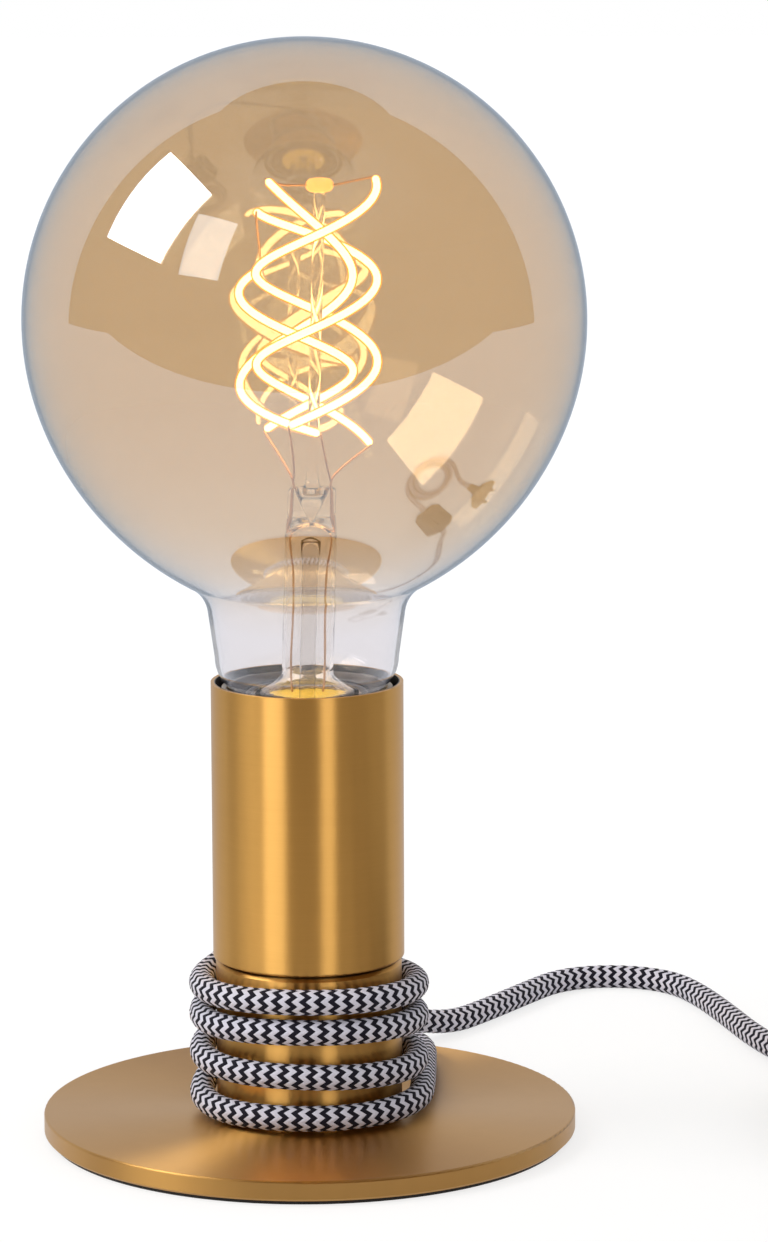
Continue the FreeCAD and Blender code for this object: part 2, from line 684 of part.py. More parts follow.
# Terminals under the core: a brass block, its clamp screw and the rivet through the floor.
posts = []
clamp_screws = []
terminal_low = core_low - S.terminal_height
for side, reach in terminal_spots:
    post = joined(box(S.terminal_side, S.terminal_side, S.terminal_height, side * reach, 0,
                      terminal_low),
                  cylinder(S.terminal_screw_radius, S.core_floor, across=side * reach, up=core_low))
    clamp = {"across": side * reach, "up": terminal_low + S.clamp_rise,
             "axis": Vector(-1, 0, 0), "turn": 90.0}
    posts.append(cut(post, cylinder(S.clamp_radius, S.terminal_side + 2 * DRILL_PAST,
                                    back=-(S.terminal_side / 2 + DRILL_PAST), **clamp)))
    clamp_screws.append(cylinder(S.clamp_radius, S.terminal_side / 2 + S.clamp_proud,
                                 back=-(S.terminal_side / 2 + S.clamp_proud), **clamp))
keep(grouped(*posts), "terminal_posts")
keep(grouped(*clamp_screws), "terminal_screws")

# ---------------------------------------------------------------- bulb

seat = bulb_seat
cap_low = seat + S.insulator_height
cap_end = cap_low + S.cap_shell_length
globe_centre = seat + S.globe_rise

# Solder tip on the axis, which meets the centre contact.
keep(turned("cap_contact", [
    (0, seat), (S.tip_flat, seat, S.tip_curve), (S.tip_radius, seat + S.tip_height),
    (0, seat + S.tip_height)]), "cap_contact")

# Black glass insulator between the tip and the shell.
tip_top = seat + S.tip_height
keep(turned("cap_insulator", [
    (0, tip_top), (S.tip_radius + S.insulator_seat, tip_top), (S.insulator_radius, cap_low),
    (S.insulator_radius, cap_low + S.insulator_rim), (0, cap_low + S.insulator_rim)]),
    "cap_insulator")

# Screw cap shell.
cap_bore = S.cap_radius - S.cap_wall
keep(turned("cap_shell", [
    (S.insulator_radius, cap_low), (S.insulator_radius + S.cap_lip, cap_low),
    (S.cap_radius, cap_low + S.cap_shoulder), (S.cap_radius, cap_end), (cap_bore, cap_end),
    (cap_bore, cap_low + S.cap_shoulder + S.fit),
    (S.insulator_radius, cap_low + S.insulator_rim / 2)]), "cap_shell")

# Glass globe: throat, flare and globe, all arcs tangent to each other.
LOWER_ARC_START = math.radians(20.0)
THROAT_LEAN = math.radians(8.0)


def globe_outline(inset):
    """Corners of the globe's half section, set in by a wall thickness."""
    small, large = S.globe_radius - inset, S.lower_globe_radius - inset
    curve = S.throat_curve + inset
    offset = S.lower_globe_radius - S.globe_radius
    low_across = -offset * math.cos(LOWER_ARC_START)
    low_up = globe_centre + offset * math.sin(LOWER_ARC_START)
    flare_across = S.throat_radius + S.throat_curve
    reach = S.lower_globe_radius + S.throat_curve
    step = flare_across - low_across
    flare_up = low_up - root(reach * reach - step * step)
    share = curve / reach
    meet = (small * math.cos(LOWER_ARC_START),
            globe_centre - small * math.sin(LOWER_ARC_START))
    flare_end = (flare_across - step * share, flare_up + (low_up - flare_up) * share)
    flare_start = (flare_across - curve * math.cos(THROAT_LEAN),
                   flare_up + curve * math.sin(THROAT_LEAN))
    bend = S.shoulder_curve - inset
    bend_up = cap_end + S.shoulder_curve - S.shoulder_sink
    bend_across = flare_start[0] - (flare_start[1] - bend_up) * math.tan(THROAT_LEAN)
    shoulder_end = (bend_across, bend_up)
    mouth = (S.glass_mouth - inset, cap_end - S.mouth_depth)
    return mouth, shoulder_end, flare_start, flare_end, meet, bend, curve, large, small


def globe_side(inset):
    """The outline's corners with the radius of each side that is an arc."""
    mouth, shoulder_end, flare_start, flare_end, meet, bend, curve, large, small = \
        globe_outline(inset)
    top = (0, globe_centre + small)
    return [(mouth[0], mouth[1]), (mouth[0], cap_end, bend), shoulder_end,
            (flare_start[0], flare_start[1], -curve), (flare_end[0], flare_end[1], large),
            (meet[0], meet[1], small), top]


globe = turned("glass_envelope", globe_side(sized(0.0)) + [(0, cap_end - S.mouth_depth)])
hollow = globe.newObject("PartDesign::Groove", "globe_hollow")
hollow.Profile = outline(globe, "XZ_Plane",
                         globe_side(S.glass_wall) + [(0, cap_end - S.mouth_depth)], "hollow")
hollow.ReferenceAxis = (hollow.Profile[0], ["V_Axis"])
hollow.Angle = 360.0
globe.Tip = hollow
keep(globe, "glass_envelope")

# Glass stem: flared foot sealed in the throat, tube, and the pinch that holds the wires.
stem_low = cap_end + S.stem_gap
stem_end = stem_low + S.stem_length
stem_straight = stem_low + S.stem_flare_rise
pinch_low = stem_end - S.pinch_height
keep(turned("glass_stem", [
    (S.stem_flare - S.stem_flare_wall, stem_low), (S.stem_flare, stem_low),
    (S.stem_radius, stem_straight), (S.stem_radius, pinch_low),
    (S.stem_radius - S.pinch_draw, stem_end), (0, stem_end), (0, pinch_low),
    (S.stem_radius - S.stem_wall, pinch_low - S.pinch_root),
    (S.stem_radius - S.stem_wall, stem_straight)]), "glass_stem")
exhaust_bore = S.exhaust_radius - S.exhaust_wall
keep(turned("exhaust_tube", [
    (exhaust_bore, stem_low - S.exhaust_below), (S.exhaust_radius, stem_low - S.exhaust_below),
    (S.exhaust_radius, pinch_low - S.exhaust_gap), (exhaust_bore, pinch_low - S.exhaust_gap)]),
    "exhaust_tube")

# Glass rod on top of the stem with its button, and the support wires in it.
button_low = seat + S.rod_top - S.button_height / 2
keep(turned("centre_rod", [
    (0, stem_end), (S.rod_radius, stem_end), (S.rod_radius, button_low), (0, button_low)]),
    "centre_rod")
keep(turned("rod_button", [
    (0, button_low), (S.button_radius, button_low, S.button_curve),
    (S.button_radius, button_low + S.button_height), (0, button_low + S.button_height)]),
    "rod_button")


def vectors(*rows):
    """Plain points as vectors."""
    return [Vector(*row) for row in rows]


# Soft filaments: four bars of light bent into open coils. Two wind one way on a circle right
# of the rod, two the other way on a narrower oval left of it, so that they cross and stay clear.
WIDE = (S.wide_shift.number, S.wide_reach.number, S.wide_reach.number)
NARROW = (S.narrow_shift.number, S.narrow_reach.number, S.narrow_depth.number)


class Strip:
    """One bar of light, from 0 at its top to 1 at its foot."""

    def __init__(self, oval, number):
        self.oval = oval
        self.top, self.drop, self.start, self.turn, self.bow = (
            getattr(S, f"strip_{number}_{word}").number
            for word in ("top", "drop", "start", "turn", "bow"))

    def at(self, share):
        """Place on the bar; bow makes it steeper above and flatter below."""
        shift, reach, depth = self.oval
        angle = math.radians(self.start + self.turn * share)
        fall = self.drop * share * (1 + self.bow * (1 - share))
        return Vector(shift + reach * math.cos(angle), depth * math.sin(angle),
                      seat.number + self.top - fall)

    def way(self, share, small=1e-4):
        """Heading down the bar."""
        return (self.at(share + small) - self.at(share - small)).normalize()

    def solid(self):
        """The bar on arcs of about a quarter turn."""
        count = math.ceil(abs(self.turn) / 90.0)
        shares = [step / count for step in range(count + 1)]
        self.curves = []
        for low, high in zip(shares, shares[1:]):
            self.curves += biarc(self.at(low), self.way(low), self.at(high), self.way(high))
        return sweep(self.curves, S.strip_radius.number)[0]

    def tip(self, share):
        """Where a wire's end lies with its side against the middle of an end face."""
        outwards = -self.way(share) if share == 0 else self.way(share)
        return self.at(share) + outwards * (S.wire_radius + S.wire_seat).number


strips = [Strip(WIDE, 1), Strip(WIDE, 2), Strip(NARROW, 3), Strip(NARROW, 4)]
bars = [strip.solid() for strip in strips]
shaped("filament_right", Part.makeCompound(bars[:2]))
shaped("filament_left", Part.makeCompound(bars[2:]))
for first in range(len(bars)):
    for second in range(first + 1, len(bars)):
        apart = bars[first].distToShape(bars[second])[0]
        print(f"filament strips {first + 1} and {second + 1}: least gap {apart:.2f} mm")

wire = S.wire_radius.number
button_middle = seat.number + S.rod_top.number
half_button = S.button_height.number / 2
button_side = (S.button_radius + S.button_curve).number - math.sqrt(
    S.button_curve.number ** 2 - half_button ** 2)


def bent_wire(*points):
    """A thin wire along a route."""
    return sweep(bent_path(list(points))[0], wire)[0]


# Support wires: from the button's sides to the tops of the first and third strip, and a link
# between the tops of the other two.
right_top, link_top, left_top, link_foot = (strip.tip(0) for strip in strips)
shaped("support_wires", Part.makeCompound([
    bent_wire(Vector(button_side, 0, button_middle), Vector(5.0, 0, button_middle),
              Vector(9.0, 2.8, button_middle + 0.4), right_top),
    bent_wire(Vector(-button_side, 0, button_middle), Vector(-6.5, 0, button_middle), left_top),
    bent_wire(link_top, link_top + Vector(0, -1.3, -2.5), link_foot + Vector(0.8, 0.6, 2.5),
              link_foot)]))

# Lead-in wires: one on each side of the pinch, out to the foot of a strip, with a branch to the
# foot of the other strip on that side.
lead_ins = []
for side, main, branch in ((-1, strips[3], strips[0]), (1, strips[1], strips[2])):
    foot = stem_end.number
    lead = bent_wire(Vector(side * 3.0, 0, foot), Vector(side * 3.6, 0, foot + 4.0), main.tip(1))
    twig = bent_wire(Vector(side * 3.3, 0, foot + 2.0), Vector(side * 3.4, -5.0, foot + 7.0),
                     branch.tip(1))
    lead_ins.append(lead.fuse(twig))
shaped("lead_in_wires", Part.makeCompound(lead_ins))

# Driver board in the cap with a capacitor, a choke and a chip on its front.
board_low = cap_low + S.insulator_rim
keep(box(S.board_width, S.board_thickness, S.board_height, 0, -S.board_back, board_low),
     "driver_board")
board_face = -(S.board_back + S.board_thickness / 2)
keep(grouped(
    cylinder(S.capacitor_radius, S.capacitor_length, across=S.capacitor_side,
             back=board_face - S.capacitor_radius, up=board_low + S.capacitor_rise),
    box(S.choke_width, S.choke_depth, S.choke_height, S.choke_side, board_face - S.choke_depth / 2,
        board_low + S.choke_rise),
    box(S.chip_width, S.chip_depth, S.chip_height, 0.0, board_face - S.chip_depth / 2,
        board_low + S.chip_rise)), "driver_parts")

# ---------------------------------------------------------------- cord inside the lamp

cord = cord_radius.number
outlet = outlet_way * bush_out.number + Vector(0, 0, outlet_height.number)
inner_top = nipple_high.number + 0.5
tube("cord_inner", [outlet, outlet_way * 10.0 + Vector(0, 0, outlet_height.number),
                    Vector(0, 0, outlet_height.number + 10.0), Vector(0, 0, inner_top)], cord)

CORE_WIRE = 0.8
CORE_BEND = 2.9
for label, side in (("live_lead", 1), ("neutral_lead", -1)):
    target = side * S.terminal_reach.number
    top = terminal_low.number
    tube(label, vectors((side * 1.4, 0, inner_top), (side * 1.4, 0, inner_top + CORE_BEND),
                        (target, 0, top - CORE_BEND), (target, 0, top)), CORE_WIRE)

# ---------------------------------------------------------------- cord round the spool

TURNS = [(S.turn_1_front, S.turn_1_left), (S.turn_2_front, S.turn_2_left),
         (S.turn_3_front, S.turn_3_left), (S.turn_4_front, S.turn_4_left)]
BACK_SHARE = 0.58
RIGHT_SHARE = 0.80


def winding_heights():
    """Cord heights at each quarter turn from the bottom right up, and where the cord leads on."""
    heights = [TURNS[0][0].number]
    for index, (front, left) in enumerate(TURNS):
        heights += [front.number, left.number]
        if index + 1 < len(TURNS):
            climb = TURNS[index + 1][0].number - left.number
            hump = S.outlet_hump.number if index == 0 else 0.0
            heights += [left.number + BACK_SHARE * climb + hump,
                        left.number + RIGHT_SHARE * climb]
    return heights + [TURNS[-1][1].number + S.leave_climb.number]


HEIGHTS = winding_heights()
LEAVE_STEP = len(HEIGHTS) - 2 + (180.0 - S.leave_angle.number) / 90.0


def winding_at(quarter):
    """Place on the winding: quarter turns from the right-hand side, front first."""
    angle = math.radians(-90.0 * quarter)
    radius = S.winding_radius.number + S.winding_slack.number * max(0.0, 1.0 - quarter)
    low = min(max(int(math.floor(quarter)), 0), len(HEIGHTS) - 1)
    high = min(low + 1, len(HEIGHTS) - 1)
    share = min(max(quarter - low, 0.0), 1.0)
    slopes = [(HEIGHTS[min(i + 1, len(HEIGHTS) - 1)] - HEIGHTS[max(i - 1, 0)]) / 2
              for i in (low, high)]
    cubic, square = share ** 3, share ** 2
    height = ((2 * cubic - 3 * square + 1) * HEIGHTS[low]
              + (cubic - 2 * square + share) * slopes[0]
              + (3 * square - 2 * cubic) * HEIGHTS[high] + (cubic - square) * slopes[1])
    return Vector(radius * math.cos(angle), radius * math.sin(angle), height)


winding_steps = list(range(len(HEIGHTS) - 1)) + [LEAVE_STEP]
winding_curves, winding_length = wound("cord_winding", winding_at, winding_steps, cord)


def end_of(curves, last=True):
    """Place and heading at an end of a chain of curves."""
    curve = curves[-1] if last else curves[0]
    at = curve.LastParameter if last else curve.FirstParameter
    return curve.value(at), curve.tangent(at)[0]


winding_start, winding_way = end_of(winding_curves, last=False)
winding_end, leave_way = end_of(winding_curves)

# The cord leaves its bush, swings round behind the column and lies into the first turn.
exit_lead = outlet + outlet_way * 14.7
tube("cord_exit", [outlet, exit_lead] + vectors(
    (-11.0, 47.3, 9.0), (1.4, 55.2, 8.7), (16.0, 53.1, 8.7), (25.6, 42.0, 8.8)) + [
    winding_start - winding_way * 18.0, winding_start], cord)

# ---------------------------------------------------------------- cord on the table

floor = cord
switch_rise = S.switch_cord_rise.number
switch_x = S.switch_across.number
switch_back = S.switch_middle.number + S.switch_length.number / 2
switch_front = S.switch_middle.number - S.switch_length.number / 2
tube("cord_run", [winding_end, winding_end + leave_way * 24.0] + vectors(
    (5.0, 59.0, 21.0), (19.0, 73.0, 7.0), (31.0, 84.0, floor), (41.0, 99.0, floor),
    (49.0, 112.5, floor), (57.3, 126.0, floor), (67.3, 131.1, floor), (78.5, 130.3, floor),
    (87.7, 123.9, floor), (93.8, 110.2, floor), (99.2, 92.5, floor), (104.5, 73.0, floor),
    (110.5, 57.0, floor + 0.3), (115.5, 47.5, switch_rise - 1.6)) + [
    Vector(switch_x, switch_back + 8.0, switch_rise),
    Vector(switch_x, switch_back, switch_rise)], cord)

# ---------------------------------------------------------------- put-away coil

coil_inner = S.coil_mean_radius.number - S.coil_pitch.number * S.coil_turns.number / 4
coil_outer = coil_inner + S.coil_pitch.number * S.coil_turns.number / 2
coil_middle = Vector(S.coil_left.number + coil_outer, S.coil_front.number, 0)


def coil_at(quarter):
    """Place on the coil: it spirals in below, climbs a layer and spirals out above."""
    half = S.coil_turns.number * 2
    turns = (quarter - half) / 4.0
    angle = math.radians(180.0 + 90.0 * quarter)
    radius = coil_inner + S.coil_pitch.number * abs(turns)
    climb = min(max(0.5 + turns * 2.0, 0.0), 1.0)
    height = cord + S.coil_pitch.number * climb
    return coil_middle + Vector(radius * math.cos(angle), radius * math.sin(angle), height)


coil_curves, coil_length = wound("cord_coil", coil_at,
                                 list(range(int(S.coil_turns.number * 4) + 1)), cord)
coil_start, coil_in = end_of(coil_curves, last=False)
coil_exit, coil_way = end_of(coil_curves)

tube("cord_link", [Vector(switch_x, switch_front, switch_rise),
                   Vector(switch_x, switch_front - 9.0, switch_rise),
                   coil_start - coil_in * 9.0, coil_start], cord)

plug_x = S.plug_across.number
plug_axis = S.plug_height.number / 2
relief_start = S.plug_face.number - S.plug_length.number - S.relief_length.number
tube("cord_tail", [coil_exit, coil_exit + coil_way * 9.0] + vectors(
    (189.0, -37.0, 4.2), (184.0, -23.0, floor), (179.4, -9.5, 4.6)) + [
    Vector(plug_x, relief_start - 8.0, plug_axis), Vector(plug_x, relief_start, plug_axis)],
    cord)

# ---------------------------------------------------------------- switch

middle = S.switch_middle
half_length = S.switch_length / 2
half_width = S.switch_width / 2
half_end = S.switch_end_width / 2
straight = half_length - S.switch_taper


def switch_outline(inset):
    """Plan of the switch: a long body drawn in at both ends."""
    inset = sized(inset)
    return [(-half_end + inset, -half_length + inset), (half_end - inset, -half_length + inset),
            (half_width - inset, -straight), (half_width - inset, straight),
            (half_end - inset, half_length - inset), (-half_end + inset, half_length - inset),
            (-half_width + inset, straight), (-half_width + inset, -straight)]


def switch_shell(name, low, high, closed_low):
    """One half of the switch's case, hollow and open towards the other half."""
    block = pressed(f"{name}_block", switch_outline(0.0), high - low)
    eased(block, S.switch_edge, 0.0 if closed_low else high - low)
    outer = place(block, S.switch_across, middle, low)
    floor_low = low + S.switch_wall if closed_low else low - DRILL_PAST
    depth = (high + DRILL_PAST if closed_low else high - S.switch_wall) - floor_low
    inner = place(pressed(f"{name}_room", switch_outline(S.switch_wall), depth), S.switch_across,
                  middle, floor_low)
    return outer, inner


def cord_way(radius):
    """A cylinder along Y through both ends of the switch."""
    return cylinder(radius, S.switch_length + 2 * DRILL_PAST, across=S.switch_across,
                    back=middle + half_length + DRILL_PAST, up=S.switch_cord_rise,
                    axis=Vector(1, 0, 0), turn=90.0)


switch_screw_spots = [(S.switch_across + S.case_screw_side, middle - S.case_screw_back),
                      (S.switch_across - S.case_screw_side, middle + S.case_screw_back)]
case_drill = S.case_screw_radius + S.fit / 2
base_block, base_room = switch_shell("switch_base", sized(0.0), S.switch_split, True)
base_posts = [cylinder(S.case_post_radius, S.switch_split - S.case_post_low, across=x, back=y,
                       up=S.case_post_low) for x, y in switch_screw_spots]
base_shell = joined(cut(base_block, base_room), *base_posts)
base_drills = [cylinder(case_drill, S.switch_height, across=x, back=y)
               for x, y in switch_screw_spots]
keep(cut(base_shell, cord_way(cord_radius), *base_drills), "switch_base")

cover_block, cover_room = switch_shell("switch_cover", S.switch_split, S.switch_height, False)
cover_posts = [cylinder(S.case_post_radius, S.switch_height - S.switch_split - S.case_post_low,
                        across=x, back=y, up=S.switch_split) for x, y in switch_screw_spots]
cover_drills = [cylinder(case_drill, 2 * (S.case_screw_high - S.switch_split), across=x, back=y,
                         up=S.switch_split) for x, y in switch_screw_spots]
cover_shell = joined(cut(cover_block, cover_room), *cover_posts)
rocker_slot = box(S.rocker_width + S.free_gap * 2, S.rocker_length + S.free_gap * 2,
                  S.switch_height, S.switch_across, middle, S.switch_height - 2 * S.switch_wall)
rocker_axis = S.switch_height - S.rocker_pivot_drop
keep(cut(cover_shell, cord_way(cord_radius), rocker_slot, *cover_drills), "switch_cover")

# Screws up from below.
keep(grouped(*[place(turned("case_screw", [
    (0, S.case_screw_low), (S.case_screw_radius, S.case_screw_low),
    (S.case_screw_radius, S.case_screw_high), (0, S.case_screw_high)]), x, y)
    for x, y in switch_screw_spots]), "switch_screws")

# Two notched posts beside the rocker take its pins; the fixed contacts lie below its ends.
post_across = S.rocker_width / 2 + S.free_gap + S.bearing_width / 2
post_top = rocker_axis + S.rocker_pin_radius / 2
pin_bore = cylinder(S.rocker_pin_radius + S.fit, S.switch_width, axis=Vector(0, 1, 0), turn=90.0,
                    across=S.switch_across - half_width, back=middle, up=rocker_axis)
keep(cut(grouped(*[box(S.bearing_width, S.bearing_length, post_top - S.switch_wall,
                       S.switch_across + side * post_across, middle, S.switch_wall)
                   for side in (-1, 1)]), pin_bore), "rocker_bearings")
keep(grouped(*[box(S.fixed_contact_width, S.fixed_contact_length, S.fixed_contact_height,
                   S.switch_across, middle + side * S.fixed_contact_back, S.switch_wall)
               for side in (-1, 1)]), "switch_contacts")

# Rocker: a shallow V seen from the side, on its own pivot.
half_rocker = S.rocker_length / 2
top_end = S.rocker_pivot_drop + S.rocker_proud
top_mid = top_end - S.rocker_dip
rocker_foot = -S.rocker_pin_radius
foot_reach = root(half_rocker * half_rocker - rocker_foot * rocker_foot)
top_reach = root(half_rocker * half_rocker - top_end * top_end)
rocker = pressed("rocker_blank", [
    (-foot_reach, rocker_foot), (foot_reach, rocker_foot, half_rocker), (top_reach, top_end),
    (0, top_mid), (-top_reach, top_end, half_rocker)], S.rocker_width)
ROCKER_TILT = 8.0
upright = Rotation(Vector(0, 1, 0), Vector(0, 0, 1), Vector(1, 0, 0), "ZXY")
tilted = Rotation(Vector(1, 0, 0), ROCKER_TILT) * upright
rocker.Placement = FreeCAD.Placement(
    Vector((S.switch_across - S.rocker_width / 2).number, middle.number, rocker_axis.number),
    tilted)
rocker.setExpression("Placement.Base.x", (S.switch_across - S.rocker_width / 2).text)
rocker.setExpression("Placement.Base.y", middle.text)
rocker.setExpression("Placement.Base.z", rocker_axis.text)
pin_reach = post_across + S.bearing_width / 2
rocker_pin = cylinder(S.rocker_pin_radius, pin_reach * 2, axis=Vector(0, 1, 0), turn=90.0,
                      across=S.switch_across - pin_reach, back=middle, up=rocker_axis)
keep(joined(rocker, rocker_pin), "switch_rocker")

# ---------------------------------------------------------------- plug

half_plug = S.plug_width / 2
half_tail = S.plug_tail_width / 2
plug_back = S.plug_face - S.plug_length
plug = pressed("plug_blank", [
    (-half_tail, 0), (half_tail, 0), (half_plug - S.plug_neck_draw, S.plug_neck_length),
    (half_plug, S.plug_shoulder), (half_plug, S.plug_length), (-half_plug, S.plug_length),
    (-half_plug, S.plug_shoulder), (-half_plug + S.plug_neck_draw, S.plug_neck_length)],
    S.plug_height)
eased(plug, S.plug_edge, 0.0, S.plug_height, front=S.plug_length)
place(plug, S.plug_across, plug_back, 0)
keep(plug, "plug_body")

relief = turned("plug_relief", [
    (0, 0), (S.relief_small, 0), (S.relief_large, S.relief_length), (0, S.relief_length)])
place(relief, S.plug_across, plug_back - S.relief_length, S.plug_height / 2,
      axis=Vector(1, 0, 0), turn=-90.0)
keep(relief, "plug_relief")

pins = []
sleeves = []
for side in (-1, 1):
    pin = turned("pin", [
        (0, S.sleeve_length), (S.pin_radius, S.sleeve_length),
        (S.pin_radius, S.pin_length - S.pin_point_length),
        (S.pin_radius - S.pin_point_draw, S.pin_length), (0, S.pin_length)])
    sleeve = turned("sleeve", [
        (0, 0), (S.sleeve_radius, 0), (S.sleeve_radius, S.sleeve_length), (0, S.sleeve_length)])
    for item in (pin, sleeve):
        place(item, S.plug_across + side * S.pin_spacing / 2, S.plug_face, S.plug_height / 2,
              axis=Vector(1, 0, 0), turn=-90.0)
    pins.append(pin)
    sleeves.append(sleeve)
keep(grouped(*pins), "plug_pins")
keep(grouped(*sleeves), "pin_sleeves")

# ---------------------------------------------------------------- check and write

doc.recompute()
for obj in doc.Objects:
    if {"Invalid", "Error"} & set(obj.State):
        raise RuntimeError(f"{obj.Label} failed: {obj.State}")

os.makedirs("parts", exist_ok=True)
for obj in pieces:
    shape = obj.Shape
    if shape.isNull() or not shape.isValid() or not shape.Solids:
        raise RuntimeError(f"{obj.Label} is not a valid solid")
    shape.exportStep(f"parts/{obj.Label}.step")
print(f"{len(pieces)} pieces, cord on the spool {winding_length:.0f} mm, "
      f"coil {coil_length:.0f} mm")
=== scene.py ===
import math

import bmesh
import bpy
import numpy as np
from mathutils import Matrix, Vector


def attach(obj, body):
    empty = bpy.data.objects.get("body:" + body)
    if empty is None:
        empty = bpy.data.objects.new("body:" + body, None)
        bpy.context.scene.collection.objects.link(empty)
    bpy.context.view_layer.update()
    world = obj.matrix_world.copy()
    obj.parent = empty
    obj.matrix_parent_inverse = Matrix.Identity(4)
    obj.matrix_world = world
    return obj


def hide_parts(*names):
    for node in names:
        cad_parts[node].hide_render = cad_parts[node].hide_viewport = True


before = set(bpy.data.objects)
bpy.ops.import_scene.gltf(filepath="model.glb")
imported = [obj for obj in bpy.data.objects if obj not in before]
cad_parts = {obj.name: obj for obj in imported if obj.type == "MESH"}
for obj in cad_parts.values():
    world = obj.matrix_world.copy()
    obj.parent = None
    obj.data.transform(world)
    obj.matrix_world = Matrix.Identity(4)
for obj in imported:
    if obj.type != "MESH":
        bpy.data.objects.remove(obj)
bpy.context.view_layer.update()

# ---------------------------------------------------------------- camera
# The camera stands a little over a metre in front of the lamp and looks down on it by ten
# degrees, with a long lens.

EYE = Vector((0.0415, -1.1076, 0.3157))
LOOK_DOWN = math.radians(10.140)
LOOK_LEFT = math.radians(1.2518)
ROLL = math.radians(-0.2351)
LENS_MM = 146.03

camera = bpy.data.objects.new("camera", bpy.data.cameras.new("camera"))
camera.data.lens = LENS_MM
camera.data.sensor_width = 36.0
camera.data.clip_start, camera.data.clip_end = 0.05, 30.0
camera.matrix_world = (Matrix.Translation(EYE) @ Matrix.Rotation(LOOK_LEFT, 4, "Z")
                       @ Matrix.Rotation(math.pi / 2 - LOOK_DOWN, 4, "X")
                       @ Matrix.Rotation(ROLL, 4, "Z"))
bpy.context.scene.collection.objects.link(camera)
bpy.context.scene.camera = camera
bpy.context.scene.view_settings.view_transform = "Standard"

# ---------------------------------------------------------------- studio
# A white table sweep, a white wall behind it and a dark room in front, as glass and brass
# mirror them. What the camera sees of the sweep and the wall is white.


class Value:
    """One output of a finish's nodes. Sums on it add Math nodes, so it reads as a formula."""

    def __init__(self, finish, socket):
        self.finish = finish
        self.socket = socket

    def math(self, operation, *others):
        inputs = dict(enumerate((self,) + others))
        return self.finish.node("ShaderNodeMath", inputs, operation=operation)

    def __add__(self, other):
        return self.math("ADD", other)

    __radd__ = __add__

    def __sub__(self, other):
        return self.math("SUBTRACT", other)

    def __rsub__(self, other):
        return self.math("MULTIPLY", -1.0) + other

    def __mul__(self, other):
        return self.math("MULTIPLY", other)

    __rmul__ = __mul__

    def __gt__(self, other):
        return self.math("GREATER_THAN", other)

    def __lt__(self, other):
        return self.math("LESS_THAN", other)


class Finish:
    """A node material, or the world, under construction."""

    def __init__(self, owner):
        owner.use_nodes = True
        self.owner = owner
        self.tree = owner.node_tree
        self.tree.nodes.clear()

    def node(self, kind, inputs=None, out=0, **settings):
        """Adds a node: its settings first, then the values or links of its sockets."""
        node = self.tree.nodes.new(kind)
        for name, setting in settings.items():
            setattr(node, name, setting)
        for name, value in (inputs or {}).items():
            socket = node.inputs[name]
            if isinstance(value, Value):
                self.tree.links.new(value.socket, socket)
            elif hasattr(value, "__len__") and socket.type == "RGBA":
                socket.default_value = (*value, 1.0)
            else:
                socket.default_value = value
        return Value(self, node.outputs[out])

    def mix(self, share, first, second):
        """One colour turning into another."""
        return self.node("ShaderNodeMix", {0: share, 6: first, 7: second}, out=2,
                         data_type="RGBA")

    def shader_mix(self, share, first, second):
        """One shader turning into another."""
        return self.node("ShaderNodeMixShader", {0: share, 1: first, 2: second})

    def noise(self, place, scale, detail=2.0):
        """Cloudy numbers round a half."""
        return self.node("ShaderNodeTexNoise",
                         {"Vector": place, "Scale": scale, "Detail": detail})

    def place(self):
        """The point on the piece, in metres from the lamp's own origin."""
        return self.node("ShaderNodeTexCoord", out=3)

    def stretched(self, place, scale):
        """The place with each axis multiplied, for grain that runs one way."""
        return self.node("ShaderNodeVectorMath", {0: place, 1: scale}, operation="MULTIPLY")

    def split(self, place):
        """The three coordinates of a place."""
        parts = self.tree.nodes.new("ShaderNodeSeparateXYZ")
        self.tree.links.new(place.socket, parts.inputs[0])
        return [Value(self, socket) for socket in parts.outputs]

    def light_path(self, name):
        """What kind of ray is asking."""
        return self.node("ShaderNodeLightPath", out=name)

    def surface(self, inputs):
        """The plain surface shader."""
        return self.node("ShaderNodeBsdfPrincipled", inputs)

    def bumped(self, height, distance):
        """A normal that follows a height, which the distance turns into metres."""
        return self.node("ShaderNodeBump", {"Height": height, "Distance": distance})

    def done(self, shader):
        """Joins the shader to the output."""
        kind = "World" if isinstance(self.owner, bpy.types.World) else "Material"
        output = self.tree.nodes.new(f"ShaderNodeOutput{kind}")
        self.tree.links.new(shader.socket, output.inputs["Surface"])
        return self.owner


def new_finish(name):
    """A finish for a new material."""
    return Finish(bpy.data.materials.new(name))


ROOM_LIGHT = 0.72
ROOM_DARK = (0.14, 0.080, 0.030)
WALL_WHITE = (0.58, 0.575, 0.58)
WALL_TOP = 0.875
WALL_SIDE = 0.31

world = bpy.context.scene.world or bpy.data.worlds.new("studio")
bpy.context.scene.world = world
air = Finish(world)
way_y, way_z = air.split(air.node("ShaderNodeTexCoord", out=0))[1:]
behind = (way_y > WALL_SIDE) * (way_z < WALL_TOP)
mirrored = air.mix(behind, ROOM_DARK, WALL_WHITE)
seen = air.light_path("Is Camera Ray") + air.light_path("Is Transmission Ray")
lit = air.mix(air.light_path("Is Glossy Ray"), (ROOM_LIGHT,) * 3, mirrored)
air.done(air.node("ShaderNodeBackground",
                  {"Color": air.mix(seen, lit, (1.0, 1.0, 1.0)), "Strength": 1.0}))

FLOOR_REACH = 4.0
PAPER = (0.88, 0.88, 0.88)
PAPER_WHITE = 1.06
TABLE_FRONT = -0.50
SHADOW_NEAR, SHADOW_FAR = 0.10, 0.42
PAPER_GLOW = 0.70


